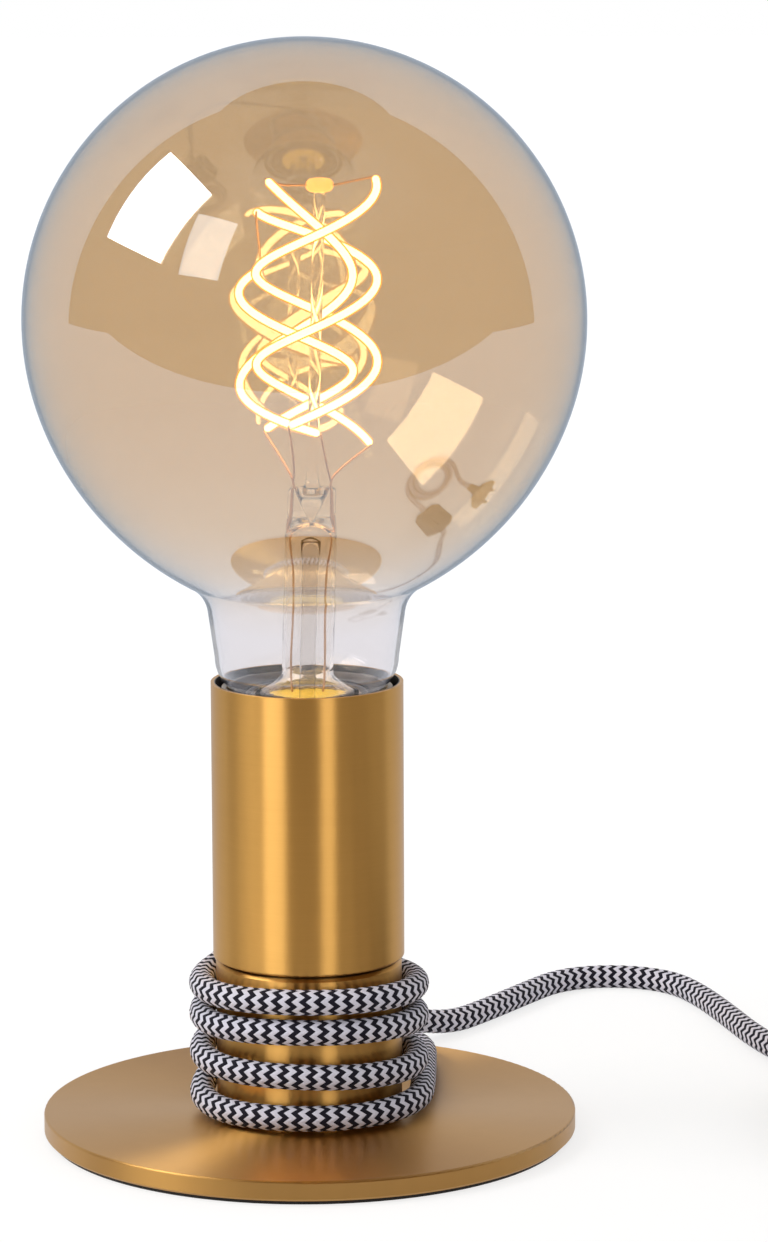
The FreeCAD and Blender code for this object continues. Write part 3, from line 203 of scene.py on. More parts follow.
def flat_sheet(name, corners):
    """A single four-cornered face."""
    mesh = bpy.data.meshes.new(name)
    mesh.from_pydata(corners, [], [(0, 1, 2, 3)])
    sheet = bpy.data.objects.new(name, mesh)
    bpy.context.scene.collection.objects.link(sheet)
    return sheet


floor = flat_sheet("table", [(-FLOOR_REACH, -FLOOR_REACH, 0.0), (FLOOR_REACH, -FLOOR_REACH, 0.0),
                             (FLOOR_REACH, FLOOR_REACH, 0.0), (-FLOOR_REACH, FLOOR_REACH, 0.0)])
paper = new_finish("white_paper")
across, back, up = paper.split(paper.place())
reach = (across * across + back * back).math("SQRT")
far_off = paper.node("ShaderNodeMapRange",
                     {"Value": reach, "From Min": SHADOW_NEAR, "From Max": SHADOW_FAR,
                      "To Min": PAPER_GLOW, "To Max": 1.0}, interpolation_type="SMOOTHSTEP")
seen_through = paper.light_path("Is Transmission Ray")
mirrored_only = paper.light_path("Is Glossy Ray") * (1.0 - seen_through)
seen_white = far_off * (paper.light_path("Is Camera Ray") + seen_through)
paper_lit = paper.node("ShaderNodeBsdfDiffuse", {"Color": PAPER})
paper_white = paper.node("ShaderNodeEmission",
                         {"Color": (1.0, 1.0, 1.0), "Strength": PAPER_WHITE})
paper_mirrored = paper.node("ShaderNodeEmission", {"Color": WALL_WHITE, "Strength": 1.0})
paper_dark = paper.node("ShaderNodeEmission", {"Color": ROOM_DARK, "Strength": 1.0})
mirror_look = paper.shader_mix(back < TABLE_FRONT, paper.shader_mix(
    far_off, paper_lit, paper_mirrored), paper_dark)
floor.data.materials.append(paper.done(paper.shader_mix(
    mirrored_only, paper.shader_mix(seen_white, paper_lit, paper_white), mirror_look)))

BULB_MIDDLE = Vector((0.0, 0.0, 0.185))


def soft_box(name, azimuth, elevation, distance, width, height, strength):
    """A rectangular soft light turned to the bulb. Azimuth 0 is the camera's side, 90 right."""
    light = bpy.data.lights.new(name, "AREA")
    light.shape = "RECTANGLE"
    light.size, light.size_y = width, height
    light.energy = strength * width * height * math.pi
    box = bpy.data.objects.new(name, light)
    turn, rise = math.radians(azimuth), math.radians(elevation)
    way = Vector((math.sin(turn) * math.cos(rise), -math.cos(turn) * math.cos(rise),
                  math.sin(rise)))
    box.matrix_world = (Matrix.Translation(BULB_MIDDLE + way * distance)
                        @ way.to_track_quat("Z", "Y").to_matrix().to_4x4())
    box.visible_camera = False
    bpy.context.scene.collection.objects.link(box)
    return box


soft_box("key_box", azimuth=-78.0, elevation=38.3, distance=1.1,
         width=0.62, height=0.58, strength=6.0)
soft_box("fill_box", azimuth=-43.0, elevation=32.0, distance=1.5,
         width=0.45, height=0.6, strength=1.1)

# Two tall strips, flagged off the globe, shine on the upright metal only.
left_strip = soft_box("left_strip", azimuth=-38.0, elevation=2.0, distance=1.6,
                      width=0.76, height=1.2, strength=3.5)
right_strip = soft_box("right_strip", azimuth=26.0, elevation=2.0, distance=1.6,
                       width=0.46, height=1.2, strength=3.0)
metal_only = bpy.data.collections.new("upright_metal")
for name in ("spool_column", "holder_cup"):
    metal_only.objects.link(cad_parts[name])
for strip_box in (left_strip, right_strip):
    strip_box.light_linking.receiver_collection = metal_only

# ---------------------------------------------------------------- foot
# A turned plate of solid brass, brushed on a lathe so that the fine lines run round the lamp's
# axis, on a pad of dark felt. Three countersunk steel screws hold it to the ring in the column.

BRASS = (0.80, 0.455, 0.128)
BRASS_DEEP = (0.66, 0.352, 0.088)
# Painted shade: a near-black colour for the inside of the cup's bore.
BORE_PAINTED_SHADE = (0.030, 0.022, 0.016)
LATHE_LINES = 3600.0
STREAKS_FLAT = (240.0, 240.0, 60.0)
STREAKS_UPRIGHT = (60.0, 60.0, 900.0)


def dress(name, material):
    """Gives a CAD node its finish."""
    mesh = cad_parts[name].data
    mesh.materials.clear()
    mesh.materials.append(material)


def turned_brass(name, flat, bore=None):
    """Brushed brass. The lines run round the axis, on a flat plate or on an upright wall.
    Inside the bore it is painted near black, as painted shade."""
    brass = new_finish(name)
    place = brass.place()
    across, back, up = brass.split(place)
    line = (across * across + back * back).math("SQRT") if flat else up
    lines = brass.node("ShaderNodeTexNoise",
                       {"W": line, "Scale": LATHE_LINES, "Detail": 4.0, "Roughness": 0.7},
                       noise_dimensions="1D")
    grain = STREAKS_FLAT if flat else STREAKS_UPRIGHT
    streaks = brass.noise(brass.stretched(place, grain), 1.0, detail=3.0)
    tarnish = brass.noise(place, 34.0, detail=3.0)
    colour = brass.mix(tarnish * 0.45 + lines * 0.30 + streaks * 0.25, BRASS_DEEP, BRASS)
    # Painted shade: within the bore radius the brass is coloured near black, standing in for the
    # shade inside the cup.
    if bore:
        reach = (across * across + back * back).math("SQRT")
        colour = brass.mix(reach < bore, colour, BORE_PAINTED_SHADE)
    return brass.done(brass.surface({
        "Base Color": colour, "Metallic": 1.0,
        "Roughness": lines * 0.10 + (0.36 if flat else 0.27),
        "Anisotropic": 0.95, "Anisotropic Rotation": 0.25,
        "Coat Weight": 0.55 if flat else 0.06, "Coat Roughness": 0.35,
        "Normal": brass.bumped(lines, 0.00001)}))


brass_flat = turned_brass("brass_turned_flat", True)
brass_wall = turned_brass("brass_turned_wall", False)
dress("base_plate", brass_flat)

felt = new_finish("felt")
fuzz = felt.noise(felt.place(), 1500.0, detail=4.0)
dress("base_pad", felt.done(felt.surface({
    "Base Color": felt.mix(fuzz, (0.010, 0.010, 0.011), (0.045, 0.043, 0.042)),
    "Roughness": 0.95, "Sheen Weight": 0.4, "Normal": felt.bumped(fuzz, 0.0003)})))


def plated_metal(name, colour, roughness):
    """Plain metal with fine scratches from the tools and a little staining."""
    metal = new_finish(name)
    place = metal.place()
    marks = metal.noise(metal.stretched(place, (1.0, 1.0, 5.0)), 700.0, detail=4.0)
    stain = metal.noise(place, 90.0)
    return metal.done(metal.surface({
        "Base Color": metal.mix(stain, tuple(0.78 * c for c in colour), colour),
        "Metallic": 1.0, "Roughness": marks * 0.2 + (roughness - 0.1),
        "Normal": metal.bumped(marks, 0.00002)}))


steel = plated_metal("zinc_plated_steel", (0.60, 0.61, 0.62), 0.34)
dress("foot_screws", steel)
dress("column_ring", steel)

# ---------------------------------------------------------------- column and outlet
# A drawn brass spool, closed on top, that the cord is wound on. The cord comes out through a
# black grommet pressed into a hole at its back.

dress("spool_column", brass_wall)


def moulded_plastic(name, colour, roughness=0.42, grain=2200.0):
    """Moulded plastic with a fine spark-eroded grain."""
    plastic = new_finish(name)
    place = plastic.place()
    pits = plastic.noise(place, grain)
    cloud = plastic.noise(place, 60.0)
    return plastic.done(plastic.surface({
        "Base Color": plastic.mix(cloud, tuple(0.8 * c for c in colour), colour),
        "Roughness": pits * 0.16 + (roughness - 0.08), "Specular IOR Level": 0.45,
        "Normal": plastic.bumped(pits, 0.00003)}))


black_plastic = moulded_plastic("black_plastic", (0.014, 0.014, 0.015))
dress("outlet_bush", black_plastic)

# ---------------------------------------------------------------- cord
# Textile cord, 5.8 mm thick: two cores in a braid of black and white yarn. It leaves a bush at
# the back of the column, winds four times round it, runs over the table to its switch, and goes
# on from there through a put-away coil to the plug.

CORD = 0.0058
ON_TABLE = CORD / 2
CORD_TURN_RADIUS = 0.0243
CORD_SLACK = 0.0012
TURN_FRONT = (0.0094, 0.0189, 0.0291, 0.0360)
TURN_LEFT = (0.0098, 0.0194, 0.0280, 0.0350)
BACK_SHARE = 0.58
RIGHT_SHARE = 0.80
OUTLET_HUMP = 0.0035
LEAVE_CLIMB = 0.0024
LEAVE_ANGLE = 155.5
OUTLET = Vector((-0.00904, 0.01984, 0.0103))
SWITCH_BACK = (0.1180, 0.0315, 0.0065)
SWITCH_FRONT = (0.118, -0.0285, 0.0065)
RELIEF_MOUTH = (0.1780, 0.0100, 0.00685)
STEPS_PER_TURN = 24


def turn_heights():
    """Heights of the winding at each quarter turn, from the bottom right upwards."""
    heights = [TURN_FRONT[0]]
    for turn, (front, left) in enumerate(zip(TURN_FRONT, TURN_LEFT)):
        heights += [front, left]
        if turn + 1 < len(TURN_FRONT):
            climb = TURN_FRONT[turn + 1] - left
            hump = OUTLET_HUMP if turn == 0 else 0.0
            heights += [left + BACK_SHARE * climb + hump, left + RIGHT_SHARE * climb]
    return heights + [TURN_LEFT[-1] + LEAVE_CLIMB]


WINDING_HEIGHTS = turn_heights()
LAST_QUARTER = len(WINDING_HEIGHTS) - 2 + (180.0 - LEAVE_ANGLE) / 90.0
SPLINE_SWELL = 1.0 / math.cos(math.pi / STEPS_PER_TURN)


def winding_at(quarter):
    """Control point of the winding, a quarter turn for each one, clockwise from the right."""
    angle = math.radians(-90.0 * quarter)
    radius = (CORD_TURN_RADIUS + CORD_SLACK * max(0.0, 1.0 - quarter)) * SPLINE_SWELL
    count = len(WINDING_HEIGHTS)
    low = min(max(int(math.floor(quarter)), 0), count - 2)
    share = min(max(quarter - low, 0.0), 1.0)
    before, here, there, after = (WINDING_HEIGHTS[min(max(low + k, 0), count - 1)]
                                  for k in (-1, 0, 1, 2))
    height = (here + share * ((there - before) / 2 + share * (
        (3 * (there - here) - (there - before) - (after - here) / 2)
        + share * ((there - before) / 2 + (after - here) / 2 - 2 * (there - here)))))
    return (radius * math.cos(angle), radius * math.sin(angle), height)


def lamp_cord_points():
    """The route from the bush to the switch: out, round the spool, and over the table."""
    route = [tuple(OUTLET), (-0.0151, 0.0332, 0.0103), (-0.0110, 0.0473, 0.0090),
             (0.0014, 0.0552, 0.0087), (0.0160, 0.0531, 0.0087), (0.0256, 0.0420, 0.0088),
             (0.0257, 0.0240, 0.0092)]
    count = int(LAST_QUARTER * STEPS_PER_TURN / 4)
    route += [winding_at(LAST_QUARTER * step / count) for step in range(count + 1)]
    return route + [
        (-0.0097, 0.0372, 0.0392), (0.0050, 0.0590, 0.0210), (0.0190, 0.0730, 0.0070),
        (0.0310, 0.0840, ON_TABLE), (0.0410, 0.0990, ON_TABLE), (0.0490, 0.1125, ON_TABLE),
        (0.0573, 0.1260, ON_TABLE), (0.0673, 0.1311, ON_TABLE), (0.0785, 0.1303, ON_TABLE),
        (0.0877, 0.1239, ON_TABLE), (0.0938, 0.1102, ON_TABLE), (0.0992, 0.0925, ON_TABLE),
        (0.1045, 0.0730, ON_TABLE), (0.1105, 0.0570, 0.0032), (0.1155, 0.0475, 0.0049),
        (0.1180, 0.0395, 0.0065), SWITCH_BACK]


COIL_TURNS = 3.5
COIL_PITCH = 0.0065
COIL_MEAN = 0.031
COIL_INNER = COIL_MEAN - COIL_PITCH * COIL_TURNS / 4
COIL_Y = -0.066
COIL_MIDDLE = Vector((SWITCH_FRONT[0] + COIL_INNER + COIL_PITCH * COIL_TURNS / 2,
                      COIL_Y, 0.0))


def coil_at(quarter):
    """Control point of the put-away coil: in below, up a layer, out above."""
    turns = (quarter - 2 * COIL_TURNS) / 4.0
    angle = math.radians(180.0 + 90.0 * quarter)
    radius = (COIL_INNER + COIL_PITCH * abs(turns)) * SPLINE_SWELL
    climb = min(max(0.5 + turns * 2.0, 0.0), 1.0)
    return (COIL_MIDDLE.x + radius * math.cos(angle), COIL_MIDDLE.y + radius * math.sin(angle),
            ON_TABLE + COIL_PITCH * climb)


def plug_cord_points():
    """The route from the switch through the put-away coil to the plug."""
    route = [SWITCH_FRONT, (0.118, -0.0375, 0.0065), (0.118, -0.0512, 0.0032)]
    count = int(COIL_TURNS * STEPS_PER_TURN)
    route += [coil_at(4 * COIL_TURNS * step / count) for step in range(count + 1)]
    return route + [(0.1912, -0.0512, 0.0094), (0.1890, -0.0370, 0.0042),
                    (0.1840, -0.0230, ON_TABLE), (0.1794, -0.0095, 0.0046),
                    (0.1780, 0.0020, 0.00685), RELIEF_MOUTH]


def smooth_line(name, points):
    """Points along a NURBS spline with these control points."""
    curve = bpy.data.curves.new(name, "CURVE")
    curve.dimensions = "3D"
    spline = curve.splines.new("NURBS")
    spline.points.add(len(points) - 1)
    for point, place in zip(spline.points, points):
        point.co = (*place, 1.0)
    spline.order_u = 3
    spline.use_endpoint_u = True
    spline.resolution_u = 12
    holder = bpy.data.objects.new(name, curve)
    bpy.context.scene.collection.objects.link(holder)
    bpy.context.view_layer.update()
    line = bpy.data.meshes.new_from_object(holder)
    found = np.array([vertex.co for vertex in line.vertices])
    bpy.data.objects.remove(holder)
    bpy.data.curves.remove(curve)
    bpy.data.meshes.remove(line)
    return found


class Line:
    """A smooth line that can be asked for its place and its two cross directions at a length."""

    def __init__(self, points):
        steps = np.linalg.norm(np.diff(points, axis=0), axis=1)
        points = points[np.r_[True, steps > 1e-7]]
        steps = np.linalg.norm(np.diff(points, axis=0), axis=1)
        self.points = points
        self.along = np.r_[0.0, np.cumsum(steps)]
        self.length = float(self.along[-1])
        ways = np.gradient(points, axis=0)
        ways /= np.linalg.norm(ways, axis=1)[:, None]
        sides = [np.cross(ways[0], (0.0, 0.0, 1.0) if abs(ways[0][2]) < 0.9 else (1.0, 0.0, 0.0))]
        for way in ways[1:]:
            side = sides[-1] - way * np.dot(sides[-1], way)
            sides.append(side / np.linalg.norm(side))
        self.sides = np.array(sides)
        self.ups = np.cross(self.sides, ways)

    def read(self, table, lengths):
        """A table of this line's points, read between them."""
        return np.stack([np.interp(lengths, self.along, table[:, k]) for k in range(3)], -1)

    def around(self, lengths, angles, radius):
        """Points at a radius round the line, for arrays of lengths and angles."""
        inside = np.clip(lengths, 0.0, self.length)
        side, up = self.read(self.sides, inside), self.read(self.ups, inside)
        return (self.read(self.points, inside)
                + (side * np.cos(angles)[..., None] + up * np.sin(angles)[..., None])
                * np.asarray(radius)[..., None])


YARN_PERIOD = 0.0029
YARN_ZIGZAG = 0.00125
ZIGZAGS_ROUND = 8
YARN_RELIEF = 0.00016


def yarn_finish(name, colour, sheen):
    """Textile yarn: a soft thread with fine twisted fibres and a little fuzz."""
    yarn = new_finish(name)
    place = yarn.place()
    fibres = yarn.noise(place, 2600.0, detail=3.0)
    blotches = yarn.noise(place, 420.0)
    shade = yarn.mix(fibres * 0.6 + blotches * 0.4, tuple(0.72 * c for c in colour),
                     tuple(min(1.0, 1.22 * c + 0.004) for c in colour))
    return yarn.done(yarn.surface({
        "Base Color": shade, "Roughness": 0.86, "Sheen Weight": sheen,
        "Sheen Roughness": 0.5, "Specular IOR Level": 0.25,
        "Normal": yarn.bumped(fibres, 0.00012)}))


white_yarn = yarn_finish("white_yarn", (0.66, 0.645, 0.73), 0.25)
black_yarn = yarn_finish("black_yarn", (0.007, 0.006, 0.016), 0.05)


def grid_piece(name, places, loop=False, caps=(), mend=None):
    """An object from rows of rings of places. A loop joins its last row to its first, caps are
    more faces, and what mend does to the mesh is followed by turning its faces outwards."""
    rows, around = places.shape[:2]
    row = np.arange(rows if loop else rows - 1)[:, None]
    after = (row + 1) % rows
    column = np.arange(around)[None]
    beside = (column + 1) % around
    faces = np.stack([row * around + column, row * around + beside,
                      after * around + beside, after * around + column], -1).reshape(-1, 4)
    mesh = bpy.data.meshes.new(name)
    mesh.from_pydata(places.reshape(-1, 3).tolist(), [], faces.tolist() + list(caps))
    if mend is not None:
        work = bmesh.new()
        work.from_mesh(mesh)
        mend(work)
        bmesh.ops.recalc_face_normals(work, faces=work.faces)
        work.to_mesh(mesh)
        work.free()
    mesh.shade_smooth()
    piece = bpy.data.objects.new(name, mesh)
    bpy.context.scene.collection.objects.link(piece)
    return piece


def braided_tube(name, line, rings_per_period=8, parts_per_zig=3):
    """A braid: each ring of the mesh is one zigzag, so that the strips follow the yarn."""
    around = 2 * ZIGZAGS_ROUND * parts_per_zig
    turn = np.arange(around) / around
    wave = np.abs(2.0 * np.mod(turn * ZIGZAGS_ROUND, 1.0) - 1.0) - 0.5
    count = int(round(line.length / YARN_PERIOD * rings_per_period))
    ring = np.arange(count + 1)
    settle = np.clip(np.minimum(ring, count - ring) / rings_per_period, 0.0, 1.0)
    lengths = (line.length * ring / count)[:, None] + YARN_ZIGZAG * wave[None] * settle[:, None]
    phase = np.mod(ring / rings_per_period, 0.5) * 2.0
    crown = np.sin(math.pi * phase) ** 0.7
    ridge = 0.75 + 0.25 * np.cos(2 * math.pi * 2 * ZIGZAGS_ROUND * turn + math.pi)
    radius = (CORD / 2 - YARN_RELIEF) + YARN_RELIEF * crown[:, None] * ridge[None]
    places = line.around(lengths, np.broadcast_to(turn * 2 * math.pi, lengths.shape), radius)
    tube = grid_piece(name, places)
    tube.data.materials.append(white_yarn)
    tube.data.materials.append(black_yarn)
    strip = (np.mod(ring[:-1], rings_per_period) >= rings_per_period // 2).astype(np.int32)
    tube.data.polygons.foreach_set("material_index", np.repeat(strip, around))
    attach(tube, "root")
    return tube


lamp_line = Line(smooth_line("lamp_route", lamp_cord_points()))
lamp_cord = braided_tube("lamp_cord", lamp_line)
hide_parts("cord_exit", "cord_winding", "cord_run")

plug_line = Line(smooth_line("plug_route", plug_cord_points()))
plug_cord = braided_tube("plug_cord", plug_line, rings_per_period=6, parts_per_zig=2)
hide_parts("cord_link", "cord_coil", "cord_tail")

# ---------------------------------------------------------------- threaded tube and cord grip
# A plated M10 tube from the column's ceiling to the lampholder, with its nut and toothed washer,
# the black washer between column and cup, and a moulded cord grip with a side screw.

for node in ("threaded_tube", "toothed_washer", "column_nut", "grip_screw"):
    dress(node, steel)
dress("cord_grip", black_plastic)
# The washer between column and cup is black as painted shade, standing in for the dark gap line
# between them.
dress("gap_washer", black_plastic)

# ---------------------------------------------------------------- cup and lampholder
# A drawn brass cup hides an E27 lampholder: a pale metal sleeve and dome round a black
# moulded core, which holds the brass screw shell, the contact and the terminals.

CUP_BORE = 0.0206
CUP_RIM = 0.0002
# Inside its bore the cup's brass is painted near black, as painted shade.
dress("holder_cup", turned_brass("brass_cup", False, CUP_BORE + CUP_RIM))
holder_metal = plated_metal("holder_metal", (0.56, 0.54, 0.52), 0.42)
contact_brass = plated_metal("contact_brass", (0.66, 0.46, 0.17), 0.30)
dress("holder_skirt", holder_metal)
dress("holder_dome", holder_metal)
dress("holder_core", moulded_plastic("holder_insulator", (0.020, 0.018, 0.017), 0.5))
for node in ("screw_shell", "centre_contact", "terminal_posts"):
    dress(node, contact_brass)
dress("terminal_screws", steel)

# ---------------------------------------------------------------- wires in the foot
# The cord goes on through the grip and the threaded tube in its textile cover. Above the tube
# it is stripped, and its two cores, in brown and blue plastic, run to the terminals.

dress("cord_inner", white_yarn)
dress("live_lead", moulded_plastic("brown_core", (0.090, 0.035, 0.014), 0.45))
dress("neutral_lead", moulded_plastic("blue_core", (0.012, 0.060, 0.20), 0.45))

# ---------------------------------------------------------------- bulb cap
# A pressed brass screw cap with a rolled thread, a black glass insulator and a tin solder tip.
# Tan cement holds the glass in it, and a small driver board stands inside.

THREAD_PITCH = 0.003629
THREAD_DEPTH = 0.0008
CAP_RADIUS = 0.0132
CAP_WALL = 0.0003
CAP_LOW, CAP_END = 0.0794, 0.1014
CAP_LIP = 0.0110
CAP_SHOULDER = 0.0025
THREAD_START, THREAD_END = 0.0819, 0.0975
THREAD_EASE = 0.0018
SLEEVE_SIDES = 72


def rolled_thread(height, angle):
    """How far the rolled thread lies below its crest, by height and angle."""
    fade = np.clip(np.minimum(height - THREAD_START, THREAD_END - height) / THREAD_EASE, 0.0, 1.0)
    turn = height / THREAD_PITCH - angle / (2 * math.pi)
    return THREAD_DEPTH * fade * (0.5 - 0.5 * np.cos(2 * math.pi * turn))


def threaded_sleeve(name, section, wall):
    """A pressed sleeve with the rolled thread, from its outer section of (radius, height)."""
    section = np.array(section)
    steps = np.r_[0.0, np.cumsum(np.linalg.norm(np.diff(section, axis=0), axis=1))]
    fine = np.linspace(0.0, steps[-1], 90)
    radius = np.interp(fine, steps, section[:, 0])[:, None]
    height = np.interp(fine, steps, section[:, 1])[:, None]
    angle = (np.arange(SLEEVE_SIDES) * 2 * math.pi / SLEEVE_SIDES)[None]
    outer = radius - rolled_thread(height, angle)
    radii = np.concatenate([outer, outer[::-1] - wall])
    heights = np.broadcast_to(np.concatenate([height, height[::-1]]), radii.shape)
    return grid_piece(name, np.stack([radii * np.cos(angle), radii * np.sin(angle), heights], -1),
                      loop=True)


cap_metal = plated_metal("cap_brass", (0.72, 0.53, 0.21), 0.24)
screw_cap = threaded_sleeve("screw_cap", [
    (CAP_LIP, CAP_LOW), (CAP_RADIUS, CAP_LOW + CAP_SHOULDER), (CAP_RADIUS, CAP_END)], CAP_WALL)
screw_cap.data.materials.append(cap_metal)
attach(screw_cap, "bulb")
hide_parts("cap_shell")

dress("cap_contact", plated_metal("tin_solder", (0.62, 0.62, 0.60), 0.3))
vitrite = new_finish("black_glass")
flow = vitrite.noise(vitrite.place(), 300.0)
dress("cap_insulator", vitrite.done(vitrite.surface({
    "Base Color": vitrite.mix(flow, (0.010, 0.010, 0.012), (0.028, 0.026, 0.030)),
    "Roughness": flow * 0.1 + 0.05, "Coat Weight": 0.4})))
dress("driver_board", moulded_plastic("board_green", (0.012, 0.10, 0.035), 0.4, 900.0))
dress("driver_parts", moulded_plastic("component_dark", (0.03, 0.03, 0.035), 0.35))

# ---------------------------------------------------------------- bulb glass
# Thin amber glass, 125 mm across, blown in a mould and coated with a metallic amber film that
# fades out over the throat. Its shell has both faces of the wall.

GLOBE = 0.0625
GLOBE_RISE = 0.185
GLASS_WALL = 0.0009
LOWER_ARC = 0.070
LOWER_START = math.radians(20.0)
THROAT = 0.022
THROAT_CURVE = 0.008
THROAT_LEAN = math.radians(8.0)
SHOULDER_RISE = 0.0084
SHOULDER_FULL = 0.9
GLASS_MOUTH = 0.0128
GLASS_IN_CAP = 0.0015


def arc_points(centre, radius, start, end, count):
    """Points of an arc in the half section, angles in radians."""
    angles = np.linspace(start, end, count)
    return [(centre[0] + radius * math.cos(a), centre[1] + radius * math.sin(a)) for a in angles]


def glass_section(inset):
    """Half section of the globe from its mouth to its top, set in by a wall thickness."""
    offset = LOWER_ARC - GLOBE
    low = (-offset * math.cos(LOWER_START), GLOBE_RISE + offset * math.sin(LOWER_START))
    flare = THROAT + THROAT_CURVE
    reach = LOWER_ARC + THROAT_CURVE
    step = flare - low[0]
    flare_up = low[1] - math.sqrt(reach * reach - step * step)
    meet = math.atan2(flare_up - low[1], step)
    lean_end = (flare - (THROAT_CURVE + inset) * math.cos(THROAT_LEAN),
                flare_up + (THROAT_CURVE + inset) * math.sin(THROAT_LEAN))
    bend_up = CAP_END + SHOULDER_RISE
    bend_across = lean_end[0] - (lean_end[1] - bend_up) * math.tan(THROAT_LEAN)
    mouth = GLASS_MOUTH - inset
    points = [(mouth, CAP_END - GLASS_IN_CAP), (mouth, CAP_END)]
    points += [(mouth + (bend_across - mouth) * math.sin(t) ** SHOULDER_FULL,
                CAP_END + (bend_up - CAP_END) * (1 - math.cos(t)))
               for t in np.linspace(0.15, math.pi / 2, 12)[:-1]]
    points += [(bend_across, bend_up)]
    points += arc_points((flare, flare_up), THROAT_CURVE + inset, math.pi - THROAT_LEAN,
                         math.pi + meet, 20)
    points += arc_points(low, LOWER_ARC - inset, meet, -LOWER_START, 40)[1:]
    points += arc_points((0.0, GLOBE_RISE), GLOBE - inset, -LOWER_START, math.pi / 2, 90)[1:]
    return points


def turned_shell(name, section, around=160):
    """A mesh turned about the lamp's axis from a closed section of (radius, height)."""
    angles = np.arange(around) * 2 * math.pi / around
    section = np.array(section)
    ring = np.stack([np.cos(angles), np.sin(angles)], -1)
    heights = np.broadcast_to(section[:, None, 1:], (len(section), around, 1))
    places = np.concatenate([section[:, None, :1] * ring[None], heights], -1)

    def joined(work):
        bmesh.ops.remove_doubles(work, verts=work.verts, dist=1e-6)

    return grid_piece(name, places, loop=True, mend=joined)


def lets_lamps_through(finish, glass, tint):
    """Glass that lets the lamps' light reach what is inside it."""
    clear = finish.node("ShaderNodeBsdfTransparent", {"Color": tint})
    return finish.shader_mix(finish.light_path("Is Shadow Ray"), glass, clear)


FILM_LOW, FILM_HIGH = 0.117, 0.146
AMBER = (0.925, 0.705, 0.47)
NECK_CLEAR = (0.87, 0.845, 0.855)
FILM_SHEEN = (0.70, 0.83, 0.99)
FILM_SHARE = 0.20
BARE_SHARE = 0.006

amber = new_finish("amber_glass")
film = amber.node("ShaderNodeMapRange",
                  {"Value": amber.split(amber.place())[2], "From Min": FILM_LOW,
                   "From Max": FILM_HIGH, "To Min": 0.0, "To Max": 1.0})
wall = amber.surface({"Base Color": amber.mix(film, NECK_CLEAR, AMBER), "Roughness": 0.0,
                      "IOR": 1.5, "Transmission Weight": 1.0})
lustre = amber.node("ShaderNodeBsdfGlossy", {"Color": FILM_SHEEN, "Roughness": 0.01})
coated = amber.shader_mix(film * FILM_SHARE + BARE_SHARE, wall, lustre)
amber_glass = amber.done(lets_lamps_through(amber, coated, (0.93, 0.88, 0.80)))

outer_side = glass_section(0.0)
inner_side = glass_section(GLASS_WALL)
globe = turned_shell("globe", outer_side + inner_side[::-1])
globe.data.materials.append(amber_glass)
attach(globe, "bulb")
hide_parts("glass_envelope")

# ---------------------------------------------------------------- glass mount
# Clear lead glass: a flared stem pressed flat at its top round the lead wires, a thin exhaust
# tube up its middle, and a rod with a button on top. As in the photograph, it leans a little to
# the right.

STEM_LOW = 0.1019
STEM_END = 0.1479
PINCH_LOW = 0.1404
STEM_FLARE = 0.0116
STEM_RADIUS = 0.0058
STEM_WALL = 0.0008
PINCH_HALF = 0.0054
PINCH_DEPTH = 0.0026
PINCH_SQUARE = 1.6
LEAN = 0.031
FLAT_START = 0.1360
FLARE_HIGH = 0.0045
FLARE_BEND = 2.2
TOP_ROUND = 0.0012
BORE_DOME = 0.0036
BLOWN_SIDES = 64


def leaning(places):
    """Moves points of the mount to the right, more the higher they are."""
    places = np.array(places, float)
    places[..., 0] += LEAN * np.maximum(places[..., 2] - STEM_LOW, 0.0)
    return places


clear = new_finish("clear_glass")
ripple = clear.noise(clear.stretched(clear.place(), (1.0, 1.0, 0.4)), 260.0)
clear_glass = clear.done(lets_lamps_through(clear, clear.surface({
    "Base Color": clear.mix(ripple, (0.985, 0.965, 0.94), (0.985, 0.98, 0.975)),
    "Roughness": 0.0, "IOR": 1.5, "Transmission Weight": 1.0,
    "Normal": clear.bumped(ripple, 0.00006)}), (0.96, 0.96, 0.96)))


def blown(name, rows, loop=False):
    """Glass from rows of (height, half width, half depth, squareness). A loop's last row joins
    its first, as in a tube's wall; otherwise both ends are closed."""
    angles = np.arange(BLOWN_SIDES) * 2 * math.pi / BLOWN_SIDES
    across, back = np.cos(angles), np.sin(angles)
    places = []
    for height, wide, deep, square in rows:
        power = 2.0 / (2.0 + square)
        places.append(np.stack([
            wide * np.sign(across) * np.abs(across) ** power,
            deep * np.sign(back) * np.abs(back) ** power, np.full(BLOWN_SIDES, height)], -1))

    def closed_ends(work):
        if not loop:
            bmesh.ops.holes_fill(work, edges=work.edges, sides=0)

    piece = grid_piece(name, leaning(places), loop=loop, mend=closed_ends)
    piece.data.materials.append(clear_glass)
    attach(piece, "bulb")
    return piece


def eased_share(value, low, high):
    """0 below low, 1 above high, and a soft step between."""
    share = min(max((value - low) / (high - low), 0.0), 1.0)
    return share * share * (3 - 2 * share)


